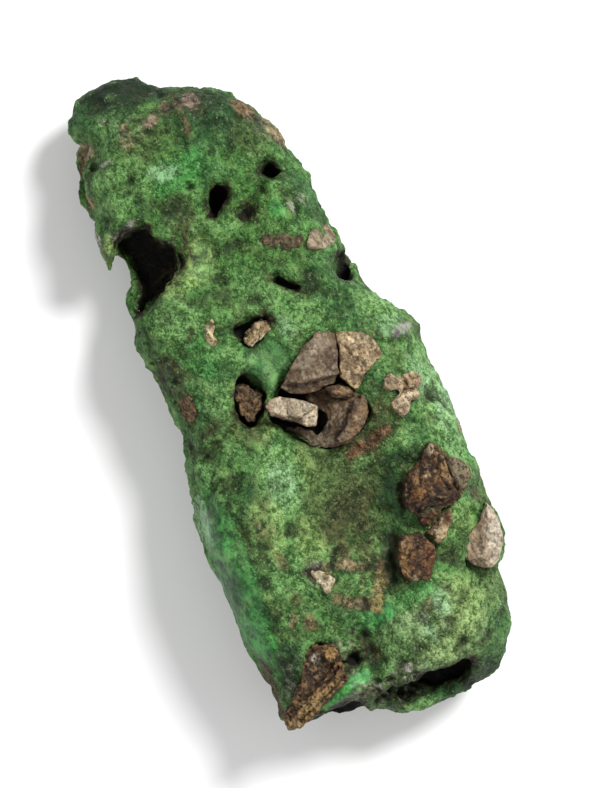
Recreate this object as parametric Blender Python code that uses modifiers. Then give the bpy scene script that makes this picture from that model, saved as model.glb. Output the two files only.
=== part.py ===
"""Variscite in matrix: a rough slab of green variscite with brown fragments of its host rock set in it.

The stone lies on the flat break of its back, its finest face up. X runs along it from the narrow end to
the wide end, Y across it and Z up. The origin is the middle of its box, on the surface that it lies on.
Lengths are in millimetres until the meshes are made.
"""

import math

import bmesh
import bpy
import numpy as np
from mathutils import Matrix, Vector, noise
from mathutils.bvhtree import BVHTree

MM = 0.001

# Driving dimensions of the slab
GIRDLE_HEIGHT = 10.5  # where the stone is widest, above the flat break of its back
EDGE_ROUNDING = 7.0  # how far in from its outline the stone starts to round over
BACK_ROUNDING = 4.0  # how much further in the back's edge rounds over than the face's
GAP = 0.3  # between a fragment and the pocket that holds it
POCKET_MOUTH = 5.0  # how far a pocket reaches above its fragment, so that no crust covers it
ROOT_SHARE = 0.75  # width of a fragment's root, as a share of its top
EDGE_WEAR = 0.3  # bevel of a fragment's edges
WORN_ANGLE = 28.0  # edges sharper than this are worn, in degrees
HOLLOW_LUMPS = 0.16  # how uneven a hollow's wall is, as a share of its size

# How fine the solids are
PLATE_HALF = 10.0  # half thickness of the flat plate that the slab is shaped from
SLAB_CELL = 1.0  # cell of the slab while it is shaped
CLEAN_CELL = 0.8  # cell of the stone once its hollows are cut
STONE_TRIANGLES = 6900
ABOVE_ALL = 60.0  # a height well above the stone, from which its crust is probed

# The edge of the slab seen from above, from the narrow end along the +Y side and back along the -Y side
OUTLINE = [
    (-59.6, -8.6), (-58.3, -5.8), (-55.2, -2.0), (-54.0, 1.2), (-50.4, 7.3), (-46.6, 10.9), (-44.2, 11.3),
    (-42.0, 13.8), (-38.2, 14.6), (-35.8, 14.1), (-30.0, 15.5), (-20.5, 16.7), (-10.0, 18.3), (-5.8, 21.2),
    (-1.0, 24.1), (3.4, 23.1), (11.0, 24.0), (17.2, 24.2), (22.0, 23.4), (29.0, 23.8), (36.0, 23.0),
    (40.2, 21.0), (41.4, 20.1), (43.0, 20.7), (47.6, 20.5), (52.6, 18.6), (56.8, 15.7), (59.2, 11.2),
    (59.6, 6.0), (58.6, -1.8), (57.0, -7.6), (55.6, -12.5), (54.8, -18.0), (54.2, -21.8), (52.0, -22.9),
    (46.0, -23.1), (41.2, -23.1), (37.0, -23.8), (25.0, -24.2), (15.0, -23.5), (8.0, -22.2), (2.2, -21.1),
    (0.4, -19.9), (-1.2, -19.7), (-1.7, -20.7), (-7.0, -21.3), (-11.4, -20.9), (-12.2, -22.2),
    (-18.0, -22.1), (-23.6, -20.8), (-25.0, -18.9), (-28.0, -18.3), (-31.6, -18.9), (-31.2, -20.0),
    (-29.9, -21.3), (-34.4, -21.7), (-38.5, -20.5), (-43.6, -21.4), (-47.6, -19.6), (-51.8, -18.0),
    (-54.2, -19.1), (-57.4, -16.2), (-59.3, -12.2),
]

# Height of the face above the girdle, along the stone
FACE_PROFILE = [
    (-60.0, 4.5), (-55.0, 7.0), (-48.0, 9.6), (-36.0, 10.8), (-20.0, 11.6), (-4.0, 13.2), (12.0, 14.0),
    (28.0, 14.2), (44.0, 13.6), (54.0, 12.6), (60.0, 10.5),
]

# Depth of the back below the girdle, before the break takes what lies lower than the girdle's height
BACK_PROFILE = [
    (-60.0, 6.0), (-50.0, 9.4), (-38.0, 11.4), (-10.0, 12.6), (30.0, 12.8), (50.0, 12.0), (60.0, 9.0),
]

# Oblique breaks that trim the back: a place on each, and the azimuth and elevation it faces in degrees
SIDE_BREAKS = [
    ((20.0, -21.5, 6.0), -95, -32),
    ((-40.0, -17.0, 5.0), -100, -40),
    ((25.0, 21.0, 4.0), 80, -28),
    ((-35.0, 11.0, 5.0), 112, -35),
    ((57.0, 0.0, 2.0), 8, -25),
]

# Broad swells and hollows of the face: middle x and y, half length, half width, turn in degrees, rise
SWELLS = [
    (25.0, 3.5, 14.0, 6.0, -10.0, -4.6),  # the dish beside the two brown fragments
    (18.0, -6.0, 9.0, 6.0, 0.0, -1.0),
    (27.0, -15.5, 15.0, 2.6, -4.0, 1.3),  # the brow above the smooth side
    (46.5, 8.0, 7.0, 8.0, 0.0, 2.2),  # the rounded lobe of the wide end
    (42.0, -3.5, 3.6, 5.2, 60.0, -2.6),  # the trough below the lobe
    (46.5, -6.5, 3.2, 2.6, 0.0, -2.2),
    (49.0, -18.0, 6.0, 5.0, -50.0, -2.6),  # the corner falls away
    (34.0, -4.5, 4.0, 2.5, 0.0, 1.0),
    (22.0, 18.0, 8.0, 4.0, 0.0, 1.2),
    (0.0, 20.5, 5.0, 3.0, 0.0, 1.4),  # the peak of the +Y edge
    (6.0, 19.0, 5.0, 3.0, 0.0, -0.9),
    (-6.0, 6.0, 3.0, 7.0, 10.0, -1.5),  # beside the cracked fragments
    (-27.0, -7.0, 6.0, 4.0, -30.0, -2.0),  # leads down into the side cavity
    (-20.0, -13.0, 6.0, 6.0, 0.0, 0.9),
    (-30.0, 4.5, 7.0, 3.0, -45.0, -1.2),
    (-43.0, -5.0, 8.0, 8.0, 0.0, 1.4),
    (-49.0, 4.0, 5.0, 5.0, 0.0, 0.7),
    (-8.0, -15.5, 8.0, 3.0, 0.0, -1.2),
    (5.5, -14.5, 3.5, 1.6, -70.0, -1.4),
    (11.5, -16.5, 4.5, 1.6, -55.0, -1.5),
]

# Lumps that the crust has at every size: how far apart, how high, seed
LUMPS = [(13.0, 1.1, 3.0), (6.0, 0.6, 17.0), (3.0, 0.28, 41.0)]

# Hollows cut into the stone: middle x, y and height, half sizes, turns about Z and Y in degrees
HOLLOWS = [
    # The cavity that opens through the -Y side, and the pocket it runs back into
    (-30.2, -15.9, 19.0, 4.4, 4.1, 10.0, 0.0, 0.0),
    (-26.4, -14.4, 18.5, 4.2, 5.4, 9.6, 30.0, 0.0),
    (-23.0, -17.2, 18.5, 2.6, 4.2, 8.0, 30.0, 0.0),
    # Pits of the narrow half
    (-32.5, -0.4, 20.5, 3.3, 1.4, 6.0, -42.0, 0.0),
    (-34.7, 9.8, 19.5, 1.7, 1.5, 5.0, 0.0, 0.0),
    (-32.2, 6.9, 21.4, 1.9, 1.0, 2.0, -60.0, 0.0),
    (-29.4, 3.6, 20.8, 2.2, 1.6, 2.8, -30.0, 0.0),
    (-14.9, 15.2, 16.8, 3.1, 1.9, 6.4, -14.0, 0.0),
    (-10.6, -2.8, 21.8, 3.4, 2.3, 3.6, -70.0, 0.0),
    (0.0, -7.6, 22.2, 4.5, 2.7, 3.6, -14.0, 0.0),
    # The step down to the lip of the wide end, the crevice behind the lip, and the undercut beside the corner
    (60.4, 1.8, 21.5, 7.2, 12.0, 7.0, 4.0, 0.0),
    (55.2, 4.0, 14.5, 2.3, 7.6, 6.0, 4.0, 10.0),
    (54.6, -3.6, 18.5, 2.3, 4.0, 4.0, -6.0, 8.0),
    (56.8, -13.4, 15.5, 2.6, 6.4, 9.0, -8.0, 0.0),
]

# Narrow hollows, cut last: the slit of the narrow half, and the gap beside the block
NARROW_HOLLOWS = [
    (-15.7, 4.9, 21.6, 3.9, 0.7, 3.4, 43.0, 0.0),
    (8.3, 1.7, 23.0, 1.9, 1.0, 4.5, -32.0, 0.0),
]

GREEN = (0.10, 0.34, 0.09)

# Fragments of host rock: plan outline, rise above the crust, root below the top, how much more than the
# crust the top leans along X and Y, facets and colour. A facet is a flat break: the azimuth and elevation
# that it faces in degrees, and how far from the middle of the top it starts.
FRAGMENTS = {
    "matrix_fragment_cracked_upper": dict(
        plan=[(-3.6, 15.0), (-0.6, 15.9), (1.8, 15.3), (3.5, 12.0), (5.0, 9.6), (3.6, 9.1), (1.6, 8.5),
              (-0.4, 8.6), (-2.6, 9.6), (-5.1, 10.1), (-4.0, 12.4)],
        rise=1.5, root=5.0, lean=(0.02, -0.10),
        facets=[(80, 42, 3.6), (165, 48, 3.4), (350, 50, 3.4)], colour=(0.36, 0.27, 0.17),
    ),
    "matrix_fragment_cracked_left": dict(
        plan=[(-5.3, 9.2), (-2.6, 9.0), (-0.3, 8.0), (1.9, 7.8), (2.6, 6.2), (1.8, 3.0), (1.0, -0.6),
              (0.3, -2.2), (-1.2, -1.0), (-2.6, 0.5), (-4.4, 3.0), (-6.2, 6.6)],
        rise=2.2, root=5.0, lean=(-0.03, 0.10),
        facets=[(-8, 28, 2.2), (205, 40, 4.6), (262, 50, 5.2)], colour=(0.30, 0.24, 0.18),
    ),
    "matrix_fragment_cracked_right": dict(
        plan=[(3.2, 7.9), (5.4, 9.6), (8.5, 10.6), (11.0, 9.5), (12.5, 6.5), (13.1, 3.2), (12.4, 0.2),
              (10.4, -2.4), (7.4, -4.6), (6.2, -5.0), (7.5, -2.2), (8.9, 0.8), (6.4, 3.0), (4.0, 1.6),
              (2.9, 3.6)],
        rise=0.8, root=5.5, lean=(-0.06, 0.06),
        facets=[(40, 40, 3.6), (110, 44, 4.6), (330, 48, 4.4)], colour=(0.26, 0.20, 0.15),
    ),
    "matrix_fragment_block": dict(
        plan=[(1.9, -5.0), (2.6, -2.4), (4.2, 0.9), (5.3, 2.2), (6.6, 1.7), (7.9, 0.6), (6.6, -2.0),
              (5.0, -4.9), (3.9, -5.7)],
        rise=2.4, root=5.0, lean=(-0.10, 0.12),
        facets=[(22, 30, 2.6), (238, 44, 3.0)], colour=(0.42, 0.33, 0.23),
    ),
    "matrix_fragment_large_brown": dict(
        plan=[(17.9, 18.0), (21.6, 20.0), (24.2, 21.6), (26.6, 20.6), (28.2, 17.8), (30.2, 14.4),
              (30.6, 11.2), (27.6, 10.2), (24.8, 10.2), (21.8, 11.6), (20.0, 14.6), (19.4, 16.8)],
        rise=2.6, root=6.0, lean=(0.04, -0.02),
        facets=[(215, 34, 4.8), (95, 30, 3.8), (300, 40, 5.0), (20, 46, 5.0)], colour=(0.17, 0.10, 0.05),
    ),
    "matrix_fragment_small_tan": dict(
        plan=[(30.7, 15.6), (32.2, 15.0), (33.9, 12.6), (32.8, 11.8), (31.2, 11.9), (30.9, 13.6)],
        rise=1.6, root=4.0, lean=(-0.05, 0.05), facets=[(20, 40, 1.4)], colour=(0.36, 0.24, 0.12),
    ),
    "matrix_fragment_russet": dict(
        plan=[(30.6, 10.3), (33.2, 11.3), (36.2, 10.9), (39.0, 8.6), (38.2, 6.6), (36.6, 5.3), (33.6, 5.4),
              (31.0, 6.8), (30.1, 8.4)],
        rise=2.2, root=5.0, lean=(0.02, 0.08),
        facets=[(250, 36, 3.2), (345, 42, 3.8), (90, 50, 3.2)], colour=(0.20, 0.10, 0.05),
    ),
    "matrix_fragment_rim_grey": dict(
        plan=[(30.2, 23.4), (36.4, 23.9), (40.2, 22.0), (41.6, 19.8), (40.2, 17.4), (38.4, 16.1),
              (36.4, 15.8), (34.8, 17.4), (33.2, 19.8), (31.2, 21.8)],
        rise=1.2, root=7.0, lean=(0.0, 0.06),
        facets=[(330, 40, 3.6), (205, 50, 3.4)], colour=(0.34, 0.28, 0.22),
    ),
    "matrix_fragment_corner_porous": dict(
        plan=[(42.2, -10.8), (43.8, -9.6), (46.2, -9.6), (48.6, -9.8), (50.0, -12.0), (51.0, -15.0),
              (52.2, -17.6), (53.0, -20.2), (51.8, -21.4), (49.8, -19.4), (46.2, -16.6), (43.0, -15.4),
              (42.0, -13.2)],
        rise=0.5, root=5.0, lean=(0.0, 0.0), facets=[(100, 52, 3.2), (240, 50, 3.4)],
        colour=(0.18, 0.10, 0.04),
    ),
    "matrix_fragment_pit_tan": dict(
        plan=[(-11.6, -0.2), (-9.8, 0.6), (-8.8, -1.6), (-8.1, -3.8), (-9.0, -4.8), (-10.4, -4.2),
              (-11.4, -2.4)],
        rise=1.6, root=5.0, lean=(0.10, 0.0), facets=[(200, 46, 1.0)], colour=(0.40, 0.29, 0.17),
    ),
    "matrix_fragment_sliver_tan": dict(
        plan=[(-15.2, -8.4), (-14.2, -7.9), (-12.4, -9.0), (-10.6, -9.3), (-10.4, -10.2), (-12.2, -10.6),
              (-14.4, -9.8)],
        rise=0.2, root=3.5, lean=(0.0, 0.1), facets=[], colour=(0.42, 0.32, 0.18),
    ),
    "matrix_fragment_pit_brown": dict(
        plan=[(-0.4, -5.3), (1.6, -6.0), (3.0, -7.6), (3.6, -9.3), (1.4, -9.7), (-1.2, -9.6), (-3.2, -8.9),
              (-2.6, -7.4), (-1.2, -6.6)],
        rise=1.2, root=5.0, lean=(0.08, 0.04), facets=[(150, 50, 2.0)], colour=(0.17, 0.09, 0.04),
    ),
    "matrix_fragment_edge_brown": dict(
        plan=[(-5.2, -17.0), (-3.0, -16.4), (-0.8, -17.0), (0.0, -18.6), (-1.6, -19.1), (-4.0, -18.8)],
        rise=0.5, root=4.0, lean=(0.0, 0.3), facets=[], colour=(0.24, 0.15, 0.09),
    ),
    "matrix_fragment_band_tan": dict(
        plan=[(-22.4, 15.6), (-20.2, 16.2), (-18.5, 14.6), (-18.9, 12.4), (-19.8, 10.9), (-21.6, 11.8),
              (-22.6, 13.4)],
        rise=0.7, root=4.5, lean=(0.05, -0.18), facets=[(-30, 40, 1.9)], colour=(0.34, 0.26, 0.18),
    ),
    "matrix_fragment_band_brown": dict(
        plan=[(-22.1, 10.9), (-20.3, 10.0), (-21.0, 7.6), (-22.6, 4.6), (-24.2, 3.8), (-24.7, 5.2),
              (-23.6, 8.2)],
        rise=0.3, root=4.0, lean=(0.0, -0.03), facets=[], colour=(0.21, 0.15, 0.08),
    ),
    "matrix_fragment_forked": dict(
        plan=[(5.7, 19.6), (7.6, 20.1), (9.3, 18.4), (12.1, 15.8), (11.4, 14.3), (8.8, 15.4), (6.2, 15.0),
              (6.4, 17.6)],
        rise=0.6, root=4.0, lean=(0.0, -0.12), facets=[], colour=(0.36, 0.25, 0.15),
    ),
    "matrix_fragment_pale_chip": dict(
        plan=[(30.2, -8.9), (30.9, -7.2), (33.1, -5.5), (35.0, -7.7), (33.0, -8.2), (31.4, -8.9)],
        rise=0.9, root=3.5, lean=(0.05, 0.08), facets=[], colour=(0.44, 0.35, 0.25),
    ),
}


def clear_scene():
    for obj in list(bpy.data.objects):
        bpy.data.objects.remove(obj, do_unlink=True)


def new_collection(name):
    made = bpy.data.collections.new(name)
    bpy.context.scene.collection.children.link(made)
    return made


def new_object(name, mesh, collection):
    made = bpy.data.objects.new(name, mesh)
    collection.objects.link(made)
    return made


def stone_material(name, colour, roughness):
    made = bpy.data.materials.new(name)
    made.use_nodes = True
    shader = made.node_tree.nodes["Principled BSDF"]
    shader.inputs["Base Color"].default_value = (*colour, 1.0)
    shader.inputs["Roughness"].default_value = roughness
    shader.inputs["Metallic"].default_value = 0.0
    return made


def baked(obj):
    """Gives the object the mesh that its modifiers make, and removes them."""
    bpy.context.view_layer.update()
    graph = bpy.context.evaluated_depsgraph_get()
    mesh = bpy.data.meshes.new_from_object(obj.evaluated_get(graph))
    obj.modifiers.clear()
    obj.data = mesh
    return obj


def smooth_loop(points, steps):
    """A closed Catmull-Rom curve through the points."""
    p = np.array(points, float)
    before, after, beyond = np.roll(p, 1, 0), np.roll(p, -1, 0), np.roll(p, -2, 0)
    runs = []
    for t in np.arange(steps) / steps:
        runs.append(
            0.5 * (2 * p + (after - before) * t + (2 * before - 5 * p + 4 * after - beyond) * t**2
                   + (3 * p - before - 3 * after + beyond) * t**3)
        )
    return np.stack(runs, 1).reshape(-1, 2)


def plate(name, outline, half, collection):
    """A flat outline with upright sides and a half thickness, made from a 2D curve and welded."""
    curve = bpy.data.curves.new(name, "CURVE")
    curve.dimensions = "2D"
    curve.fill_mode = "BOTH"
    curve.extrude = half * MM
    spline = curve.splines.new("POLY")
    spline.points.add(len(outline) - 1)
    for point, (x, y) in zip(spline.points, outline):
        point.co = (x * MM, y * MM, 0.0, 1.0)
    spline.use_cyclic_u = True
    guide = new_object(name + "_outline", curve, collection)
    bpy.context.view_layer.update()
    graph = bpy.context.evaluated_depsgraph_get()
    mesh = bpy.data.meshes.new_from_object(guide.evaluated_get(graph))
    bpy.data.objects.remove(guide)
    welded = bmesh.new()
    welded.from_mesh(mesh)
    bmesh.ops.remove_doubles(welded, verts=welded.verts, dist=1e-6)
    bmesh.ops.recalc_face_normals(welded, faces=welded.faces)
    welded.to_mesh(mesh)
    welded.free()
    return new_object(name, mesh, collection)


def depth_inside(points, outline):
    """How far each plan point lies inside the outline, and the way inwards at its nearest edge."""
    start, end = outline, np.roll(outline, -1, 0)
    run = end - start
    length = np.linalg.norm(run, axis=1)
    inwards = np.stack([run[:, 1], -run[:, 0]], 1) / length[:, None]
    offset = points[:, None, :] - start[None]
    share = np.clip((offset * run).sum(2) / length**2, 0, 1)
    gap = offset - share[:, :, None] * run[None]
    distance = np.linalg.norm(gap, axis=2)
    nearest = distance.argmin(1)
    rows = np.arange(len(points))
    return distance[rows, nearest], inwards[nearest]


def ramp(value, start, run):
    """From 0 at the start to 1 after the run."""
    return np.clip((value - start) / run, 0, 1)


def edge_radius(x, y):
    """How far in from its outline the stone rounds over: more on its +Y shoulder and its narrow tip."""
    shoulder = (y > 8.0) * ramp(x, -10.0, 20.0)
    return EDGE_ROUNDING + 4.0 * shoulder + 3.0 * ramp(x, -50.0, -8.0) - 3.0 * ramp(x, 44.0, 8.0)


def swell(x, y, middle_x, middle_y, half_x, half_y, turn, rise):
    c, s = math.cos(math.radians(turn)), math.sin(math.radians(turn))
    u = ((x - middle_x) * c + (y - middle_y) * s) / half_x
    v = (-(x - middle_x) * s + (y - middle_y) * c) / half_y
    return rise * np.exp(-(u**2 + v**2))


def face_height(x, y):
    """Height of the face above the girdle."""
    height = np.interp(x, *np.transpose(FACE_PROFILE))
    for one in SWELLS:
        height = height + swell(x, y, *one)
    return height


def shape_slab(obj, outline):
    """Rounds the plate's edges over and gives its face and its back their relief."""
    mesh = obj.data
    co = np.zeros(len(mesh.vertices) * 3)
    mesh.vertices.foreach_get("co", co)
    co = co.reshape(-1, 3) / MM
    inside, inwards = depth_inside(co[:, :2], outline)
    up = co[:, 2] / PLATE_HALF
    radius = edge_radius(co[:, 0], co[:, 1]) + BACK_ROUNDING * np.clip(-up, 0, 1)
    out = np.clip(1 - inside / radius, 0, 1)
    up = np.clip(up, -1, 1)
    # A square section becomes a round one
    out_round = out * np.sqrt(1 - up**2 / 2)
    up_round = up * np.sqrt(1 - out**2 / 2)
    co[:, :2] += inwards * ((out - out_round) * radius)[:, None]
    face = face_height(co[:, 0], co[:, 1])
    back = np.interp(co[:, 0], *np.transpose(BACK_PROFILE))
    co[:, 2] = GIRDLE_HEIGHT + np.where(up > 0, face, back) * up_round
    mesh.vertices.foreach_set("co", (co * MM).ravel())
    mesh.update()


def roughen(obj, lumps):
    """Moves each point along its normal by lumpy noise."""
    mesh = obj.data
    moves = []
    for vertex in mesh.vertices:
        move = 0.0
        for spacing, rise, seed in lumps:
            move += rise * noise.noise(vertex.co / (spacing * MM) + Vector((seed, seed, seed)))
        moves.append(vertex.co + vertex.normal * (move * MM))
    for vertex, place in zip(mesh.vertices, moves):
        vertex.co = place
    mesh.update()


def hollow_cutter(name, x, y, z, half_x, half_y, half_z, turn, lean, collection):
    """A lumpy egg that cuts one hollow."""
    egg = bmesh.new()
    bmesh.ops.create_icosphere(egg, subdivisions=3, radius=1.0)
    for vertex in egg.verts:
        direction = vertex.co.normalized()
        vertex.co = direction * (1 + HOLLOW_LUMPS * noise.noise(direction * 1.7 + Vector((x, y, z))))
    place = (
        Matrix.Translation(Vector((x, y, z)) * MM)
        @ Matrix.Rotation(math.radians(turn), 4, "Z")
        @ Matrix.Rotation(math.radians(lean), 4, "Y")
        @ Matrix.Diagonal((half_x * MM, half_y * MM, half_z * MM, 1.0))
    )
    bmesh.ops.transform(egg, matrix=place, verts=egg.verts)
    mesh = bpy.data.meshes.new(name)
    egg.to_mesh(mesh)
    egg.free()
    return as_cutter(new_object(name, mesh, collection))


def as_cutter(obj):
    obj.hide_render = True
    obj.display_type = "WIRE"
    return obj


def subtract(obj, cutter):
    cut = obj.modifiers.new(cutter.name, "BOOLEAN")
    cut.operation = "DIFFERENCE"
    cut.solver = "EXACT"
    cut.object = cutter


def remesh(obj, cell):
    step = obj.modifiers.new("Remesh", "REMESH")
    step.mode = "VOXEL"
    step.voxel_size = cell * MM
    return baked(obj)


def relax(obj, factor, times):
    step = obj.modifiers.new("Smooth", "SMOOTH")
    step.factor = factor
    step.iterations = times
    return baked(obj)


def decimate(obj, triangles):
    count = sum(len(face.vertices) - 2 for face in obj.data.polygons)
    step = obj.modifiers.new("Decimate", "DECIMATE")
    step.ratio = triangles / count
    step.use_collapse_triangulate = True
    return baked(obj)


def facing(azimuth, elevation):
    """The direction that a surface faces, from its azimuth and elevation in degrees."""
    a, e = math.radians(azimuth), math.radians(elevation)
    return Vector((math.cos(a) * math.cos(e), math.sin(a) * math.cos(e), math.sin(e)))


def break_off(obj, place, azimuth, elevation):
    """Takes off what lies beyond a plane, and closes the break."""
    normal = facing(azimuth, elevation)
    shape = bmesh.new()
    shape.from_mesh(obj.data)
    cut = bmesh.ops.bisect_plane(
        shape, geom=shape.verts[:] + shape.edges[:] + shape.faces[:], dist=1e-7,
        plane_co=Vector(place) * MM, plane_no=normal, clear_outer=True,
    )
    rim = [e for e in cut["geom_cut"] if isinstance(e, bmesh.types.BMEdge)]
    bmesh.ops.triangle_fill(shape, use_beauty=True, use_dissolve=False, edges=rim, normal=normal)
    bmesh.ops.remove_doubles(shape, verts=shape.verts, dist=1e-7)
    bmesh.ops.recalc_face_normals(shape, faces=shape.faces)
    shape.to_mesh(obj.data)
    shape.free()


def crust_level(tree, plan):
    """The crust around a plan outline as a plane: its height above the outline's middle, and its slope."""
    middle = np.mean(plan, axis=0)
    rows, heights = [], []
    for x, y in plan:
        hit, _, _, _ = tree.ray_cast(Vector((x, y, ABOVE_ALL)) * MM, Vector((0, 0, -1)))
        if hit is not None:
            rows.append((1.0, x - middle[0], y - middle[1]))
            heights.append(hit.z / MM)
    return np.linalg.lstsq(np.array(rows), np.array(heights), rcond=None)[0]


def widened(plan, distance):
    """The outline with each of its sides moved out, for an outline that runs either way round."""
    p = np.array(plan, float)
    before, after = p - np.roll(p, 1, 0), np.roll(p, -1, 0) - p
    area = np.sum(p[:, 0] * np.roll(p[:, 1], -1) - np.roll(p[:, 0], -1) * p[:, 1])
    turn = np.array([[0.0, -1.0], [1.0, 0.0]]) * np.sign(area)
    first = before / np.linalg.norm(before, axis=1)[:, None] @ turn
    second = after / np.linalg.norm(after, axis=1)[:, None] @ turn
    share = 1 + np.sum(first * second, axis=1)
    return p + (first + second) * (distance / np.maximum(share, 0.5))[:, None]


def rock_block(name, plan, top, slope, root, facets, grow, mouth, collection):
    """A broken piece of host rock with a leaning top and flat breaks, or the pocket that holds it."""
    middle = Vector((*np.mean(plan, axis=0), top))
    obj = plate(name, widened(plan, grow), 1.0, collection)
    shape = bmesh.new()
    shape.from_mesh(obj.data)
    for vertex in shape.verts:
        x, y = vertex.co.x / MM - middle.x, vertex.co.y / MM - middle.y
        if vertex.co.z < 0:
            narrow = middle + Vector((x, y, 0)) * ROOT_SHARE
            vertex.co = Vector((narrow.x, narrow.y, top - root - grow)) * MM
        else:
            vertex.co.z = (top + slope[0] * x + slope[1] * y + grow) * MM
    if mouth:
        lid = [face for face in shape.faces if all(v.co.z > (top - root) * MM for v in face.verts)]
        raised = bmesh.ops.extrude_face_region(shape, geom=lid)["geom"]
        bmesh.ops.delete(shape, geom=lid, context="FACES_ONLY")
        rim = [v for v in raised if isinstance(v, bmesh.types.BMVert)]
        bmesh.ops.translate(shape, vec=(0, 0, mouth * MM), verts=rim)
    for azimuth, elevation, reach in facets:
        across = facing(azimuth, 0.0) * reach
        across.z = slope[0] * across.x + slope[1] * across.y
        chip(shape, (middle + across) * MM, facing(azimuth, elevation))
    bmesh.ops.recalc_face_normals(shape, faces=shape.faces)
    shape.to_mesh(obj.data)
    shape.free()
    return obj


def chip(shape, point, normal):
    """Takes a chip off a block: what lies beyond a plane."""
    cut = bmesh.ops.bisect_plane(
        shape, geom=shape.verts[:] + shape.edges[:] + shape.faces[:], dist=1e-7,
        plane_co=point, plane_no=normal, clear_outer=True,
    )
    rim = [e for e in cut["geom_cut"] if isinstance(e, bmesh.types.BMEdge)]
    if rim:
        bmesh.ops.contextual_create(shape, geom=rim)


def set_in(stone, tree, name, plan, rise, root, lean, facets, colour, parts, cutters):
    """Sets one fragment in the stone, in a pocket of its own shape."""
    level, slope_x, slope_y = crust_level(tree, plan)
    slope = (slope_x + lean[0], slope_y + lean[1])
    place = (plan, level + rise, slope, root)
    piece = rock_block(name, *place, facets, 0.0, 0.0, parts)
    bevel = piece.modifiers.new("Bevel", "BEVEL")
    bevel.width = EDGE_WEAR * MM
    bevel.segments = 1
    bevel.limit_method = "ANGLE"
    bevel.angle_limit = math.radians(WORN_ANGLE)
    piece.data.materials.append(stone_material(name, colour, 0.8))
    subtract(stone, as_cutter(rock_block(name + "_pocket", *place, [], GAP, POCKET_MOUTH, cutters)))


def drop_crumbs(obj):
    """Keeps the largest body of a mesh, and drops what its cuts left loose."""
    shape = bmesh.new()
    shape.from_mesh(obj.data)
    unseen, bodies = set(shape.verts), []
    while unseen:
        body, front = set(), [unseen.pop()]
        while front:
            vertex = front.pop()
            body.add(vertex)
            near = {edge.other_vert(vertex) for edge in vertex.link_edges} & unseen
            unseen -= near
            front.extend(near)
        bodies.append(body)
    bodies.sort(key=len)
    for body in bodies[:-1]:
        bmesh.ops.delete(shape, geom=list(body), context="VERTS")
    shape.to_mesh(obj.data)
    shape.free()


def cut_hollows(stone, name, hollows, cutters):
    for number, hollow in enumerate(hollows):
        subtract(stone, hollow_cutter(f"{name}_{number:02d}", *hollow, cutters))


def build_stone(parts, cutters):
    outline = smooth_loop(OUTLINE, 5)
    stone = plate("variscite", outline, PLATE_HALF, parts)
    remesh(stone, SLAB_CELL)
    shape_slab(stone, outline)
    relax(stone, 0.5, 2)
    for place, azimuth, elevation in SIDE_BREAKS:
        break_off(stone, place, azimuth, elevation)
    remesh(stone, SLAB_CELL)
    roughen(stone, LUMPS)
    cut_hollows(stone, "hollow", HOLLOWS, cutters)
    baked(stone)
    remesh(stone, CLEAN_CELL)
    relax(stone, 0.4, 1)
    decimate(stone, STONE_TRIANGLES)
    break_off(stone, (0.0, 0.0, 0.0), 0, -90)
    stone.data.materials.clear()
    stone.data.materials.append(stone_material("variscite", GREEN, 0.7))
    return stone


def main():
    clear_scene()
    parts = new_collection("variscite_in_matrix")
    cutters = new_collection("cutters")
    stone = build_stone(parts, cutters)
    tree = BVHTree.FromObject(stone, bpy.context.evaluated_depsgraph_get())
    for name, facts in FRAGMENTS.items():
        set_in(stone, tree, name, parts=parts, cutters=cutters, **facts)
    cut_hollows(stone, "narrow_hollow", NARROW_HOLLOWS, cutters)
    drop_crumbs(baked(stone))


main()
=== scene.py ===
"""Looks of the variscite in matrix: a granular green crust with broken pieces of its host rock set in it.

The crust takes its form from the stone's own solid, closes round the root of each fragment, and then gets
its lumps, furrows, pits and grains. Each fragment is broken rock with the colours of its kind. Lengths and
places are in millimetres in the part's own frame, and each mesh is brought to metres when it is finished.
"""

import math

import bmesh
import bpy
import numpy as np
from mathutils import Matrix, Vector, noise
from mathutils.bvhtree import BVHTree

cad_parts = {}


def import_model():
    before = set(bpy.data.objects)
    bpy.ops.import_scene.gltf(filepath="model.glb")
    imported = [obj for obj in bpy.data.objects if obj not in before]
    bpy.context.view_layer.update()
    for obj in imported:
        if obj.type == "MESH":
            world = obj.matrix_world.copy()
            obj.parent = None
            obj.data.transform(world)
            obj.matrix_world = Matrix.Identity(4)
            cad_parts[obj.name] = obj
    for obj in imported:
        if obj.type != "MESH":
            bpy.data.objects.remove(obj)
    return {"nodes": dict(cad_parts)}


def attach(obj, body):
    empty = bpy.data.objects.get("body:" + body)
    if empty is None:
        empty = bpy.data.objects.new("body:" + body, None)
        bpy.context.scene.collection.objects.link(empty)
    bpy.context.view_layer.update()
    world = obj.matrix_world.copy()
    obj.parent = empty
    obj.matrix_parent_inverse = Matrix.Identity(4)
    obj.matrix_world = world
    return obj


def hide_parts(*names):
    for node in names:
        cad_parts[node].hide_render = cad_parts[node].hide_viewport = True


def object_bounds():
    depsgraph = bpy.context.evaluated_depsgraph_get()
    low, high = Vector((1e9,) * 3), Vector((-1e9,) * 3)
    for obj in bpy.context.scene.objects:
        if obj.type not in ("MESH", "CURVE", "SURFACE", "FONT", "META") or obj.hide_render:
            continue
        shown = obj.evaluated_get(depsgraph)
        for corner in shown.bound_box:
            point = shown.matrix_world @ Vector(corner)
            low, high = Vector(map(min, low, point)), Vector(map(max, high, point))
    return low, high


MM = 0.001

# How fine the meshes are
CRUST_CELL = 0.72  # cell of the crust before its seen side is divided once more
ROCK_CELL = 0.21
FINE_ABOVE = 8.0  # the crust is divided once more above this height, where it looks upwards
ABOVE_ALL = 40.0  # a height above the whole stone

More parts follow.
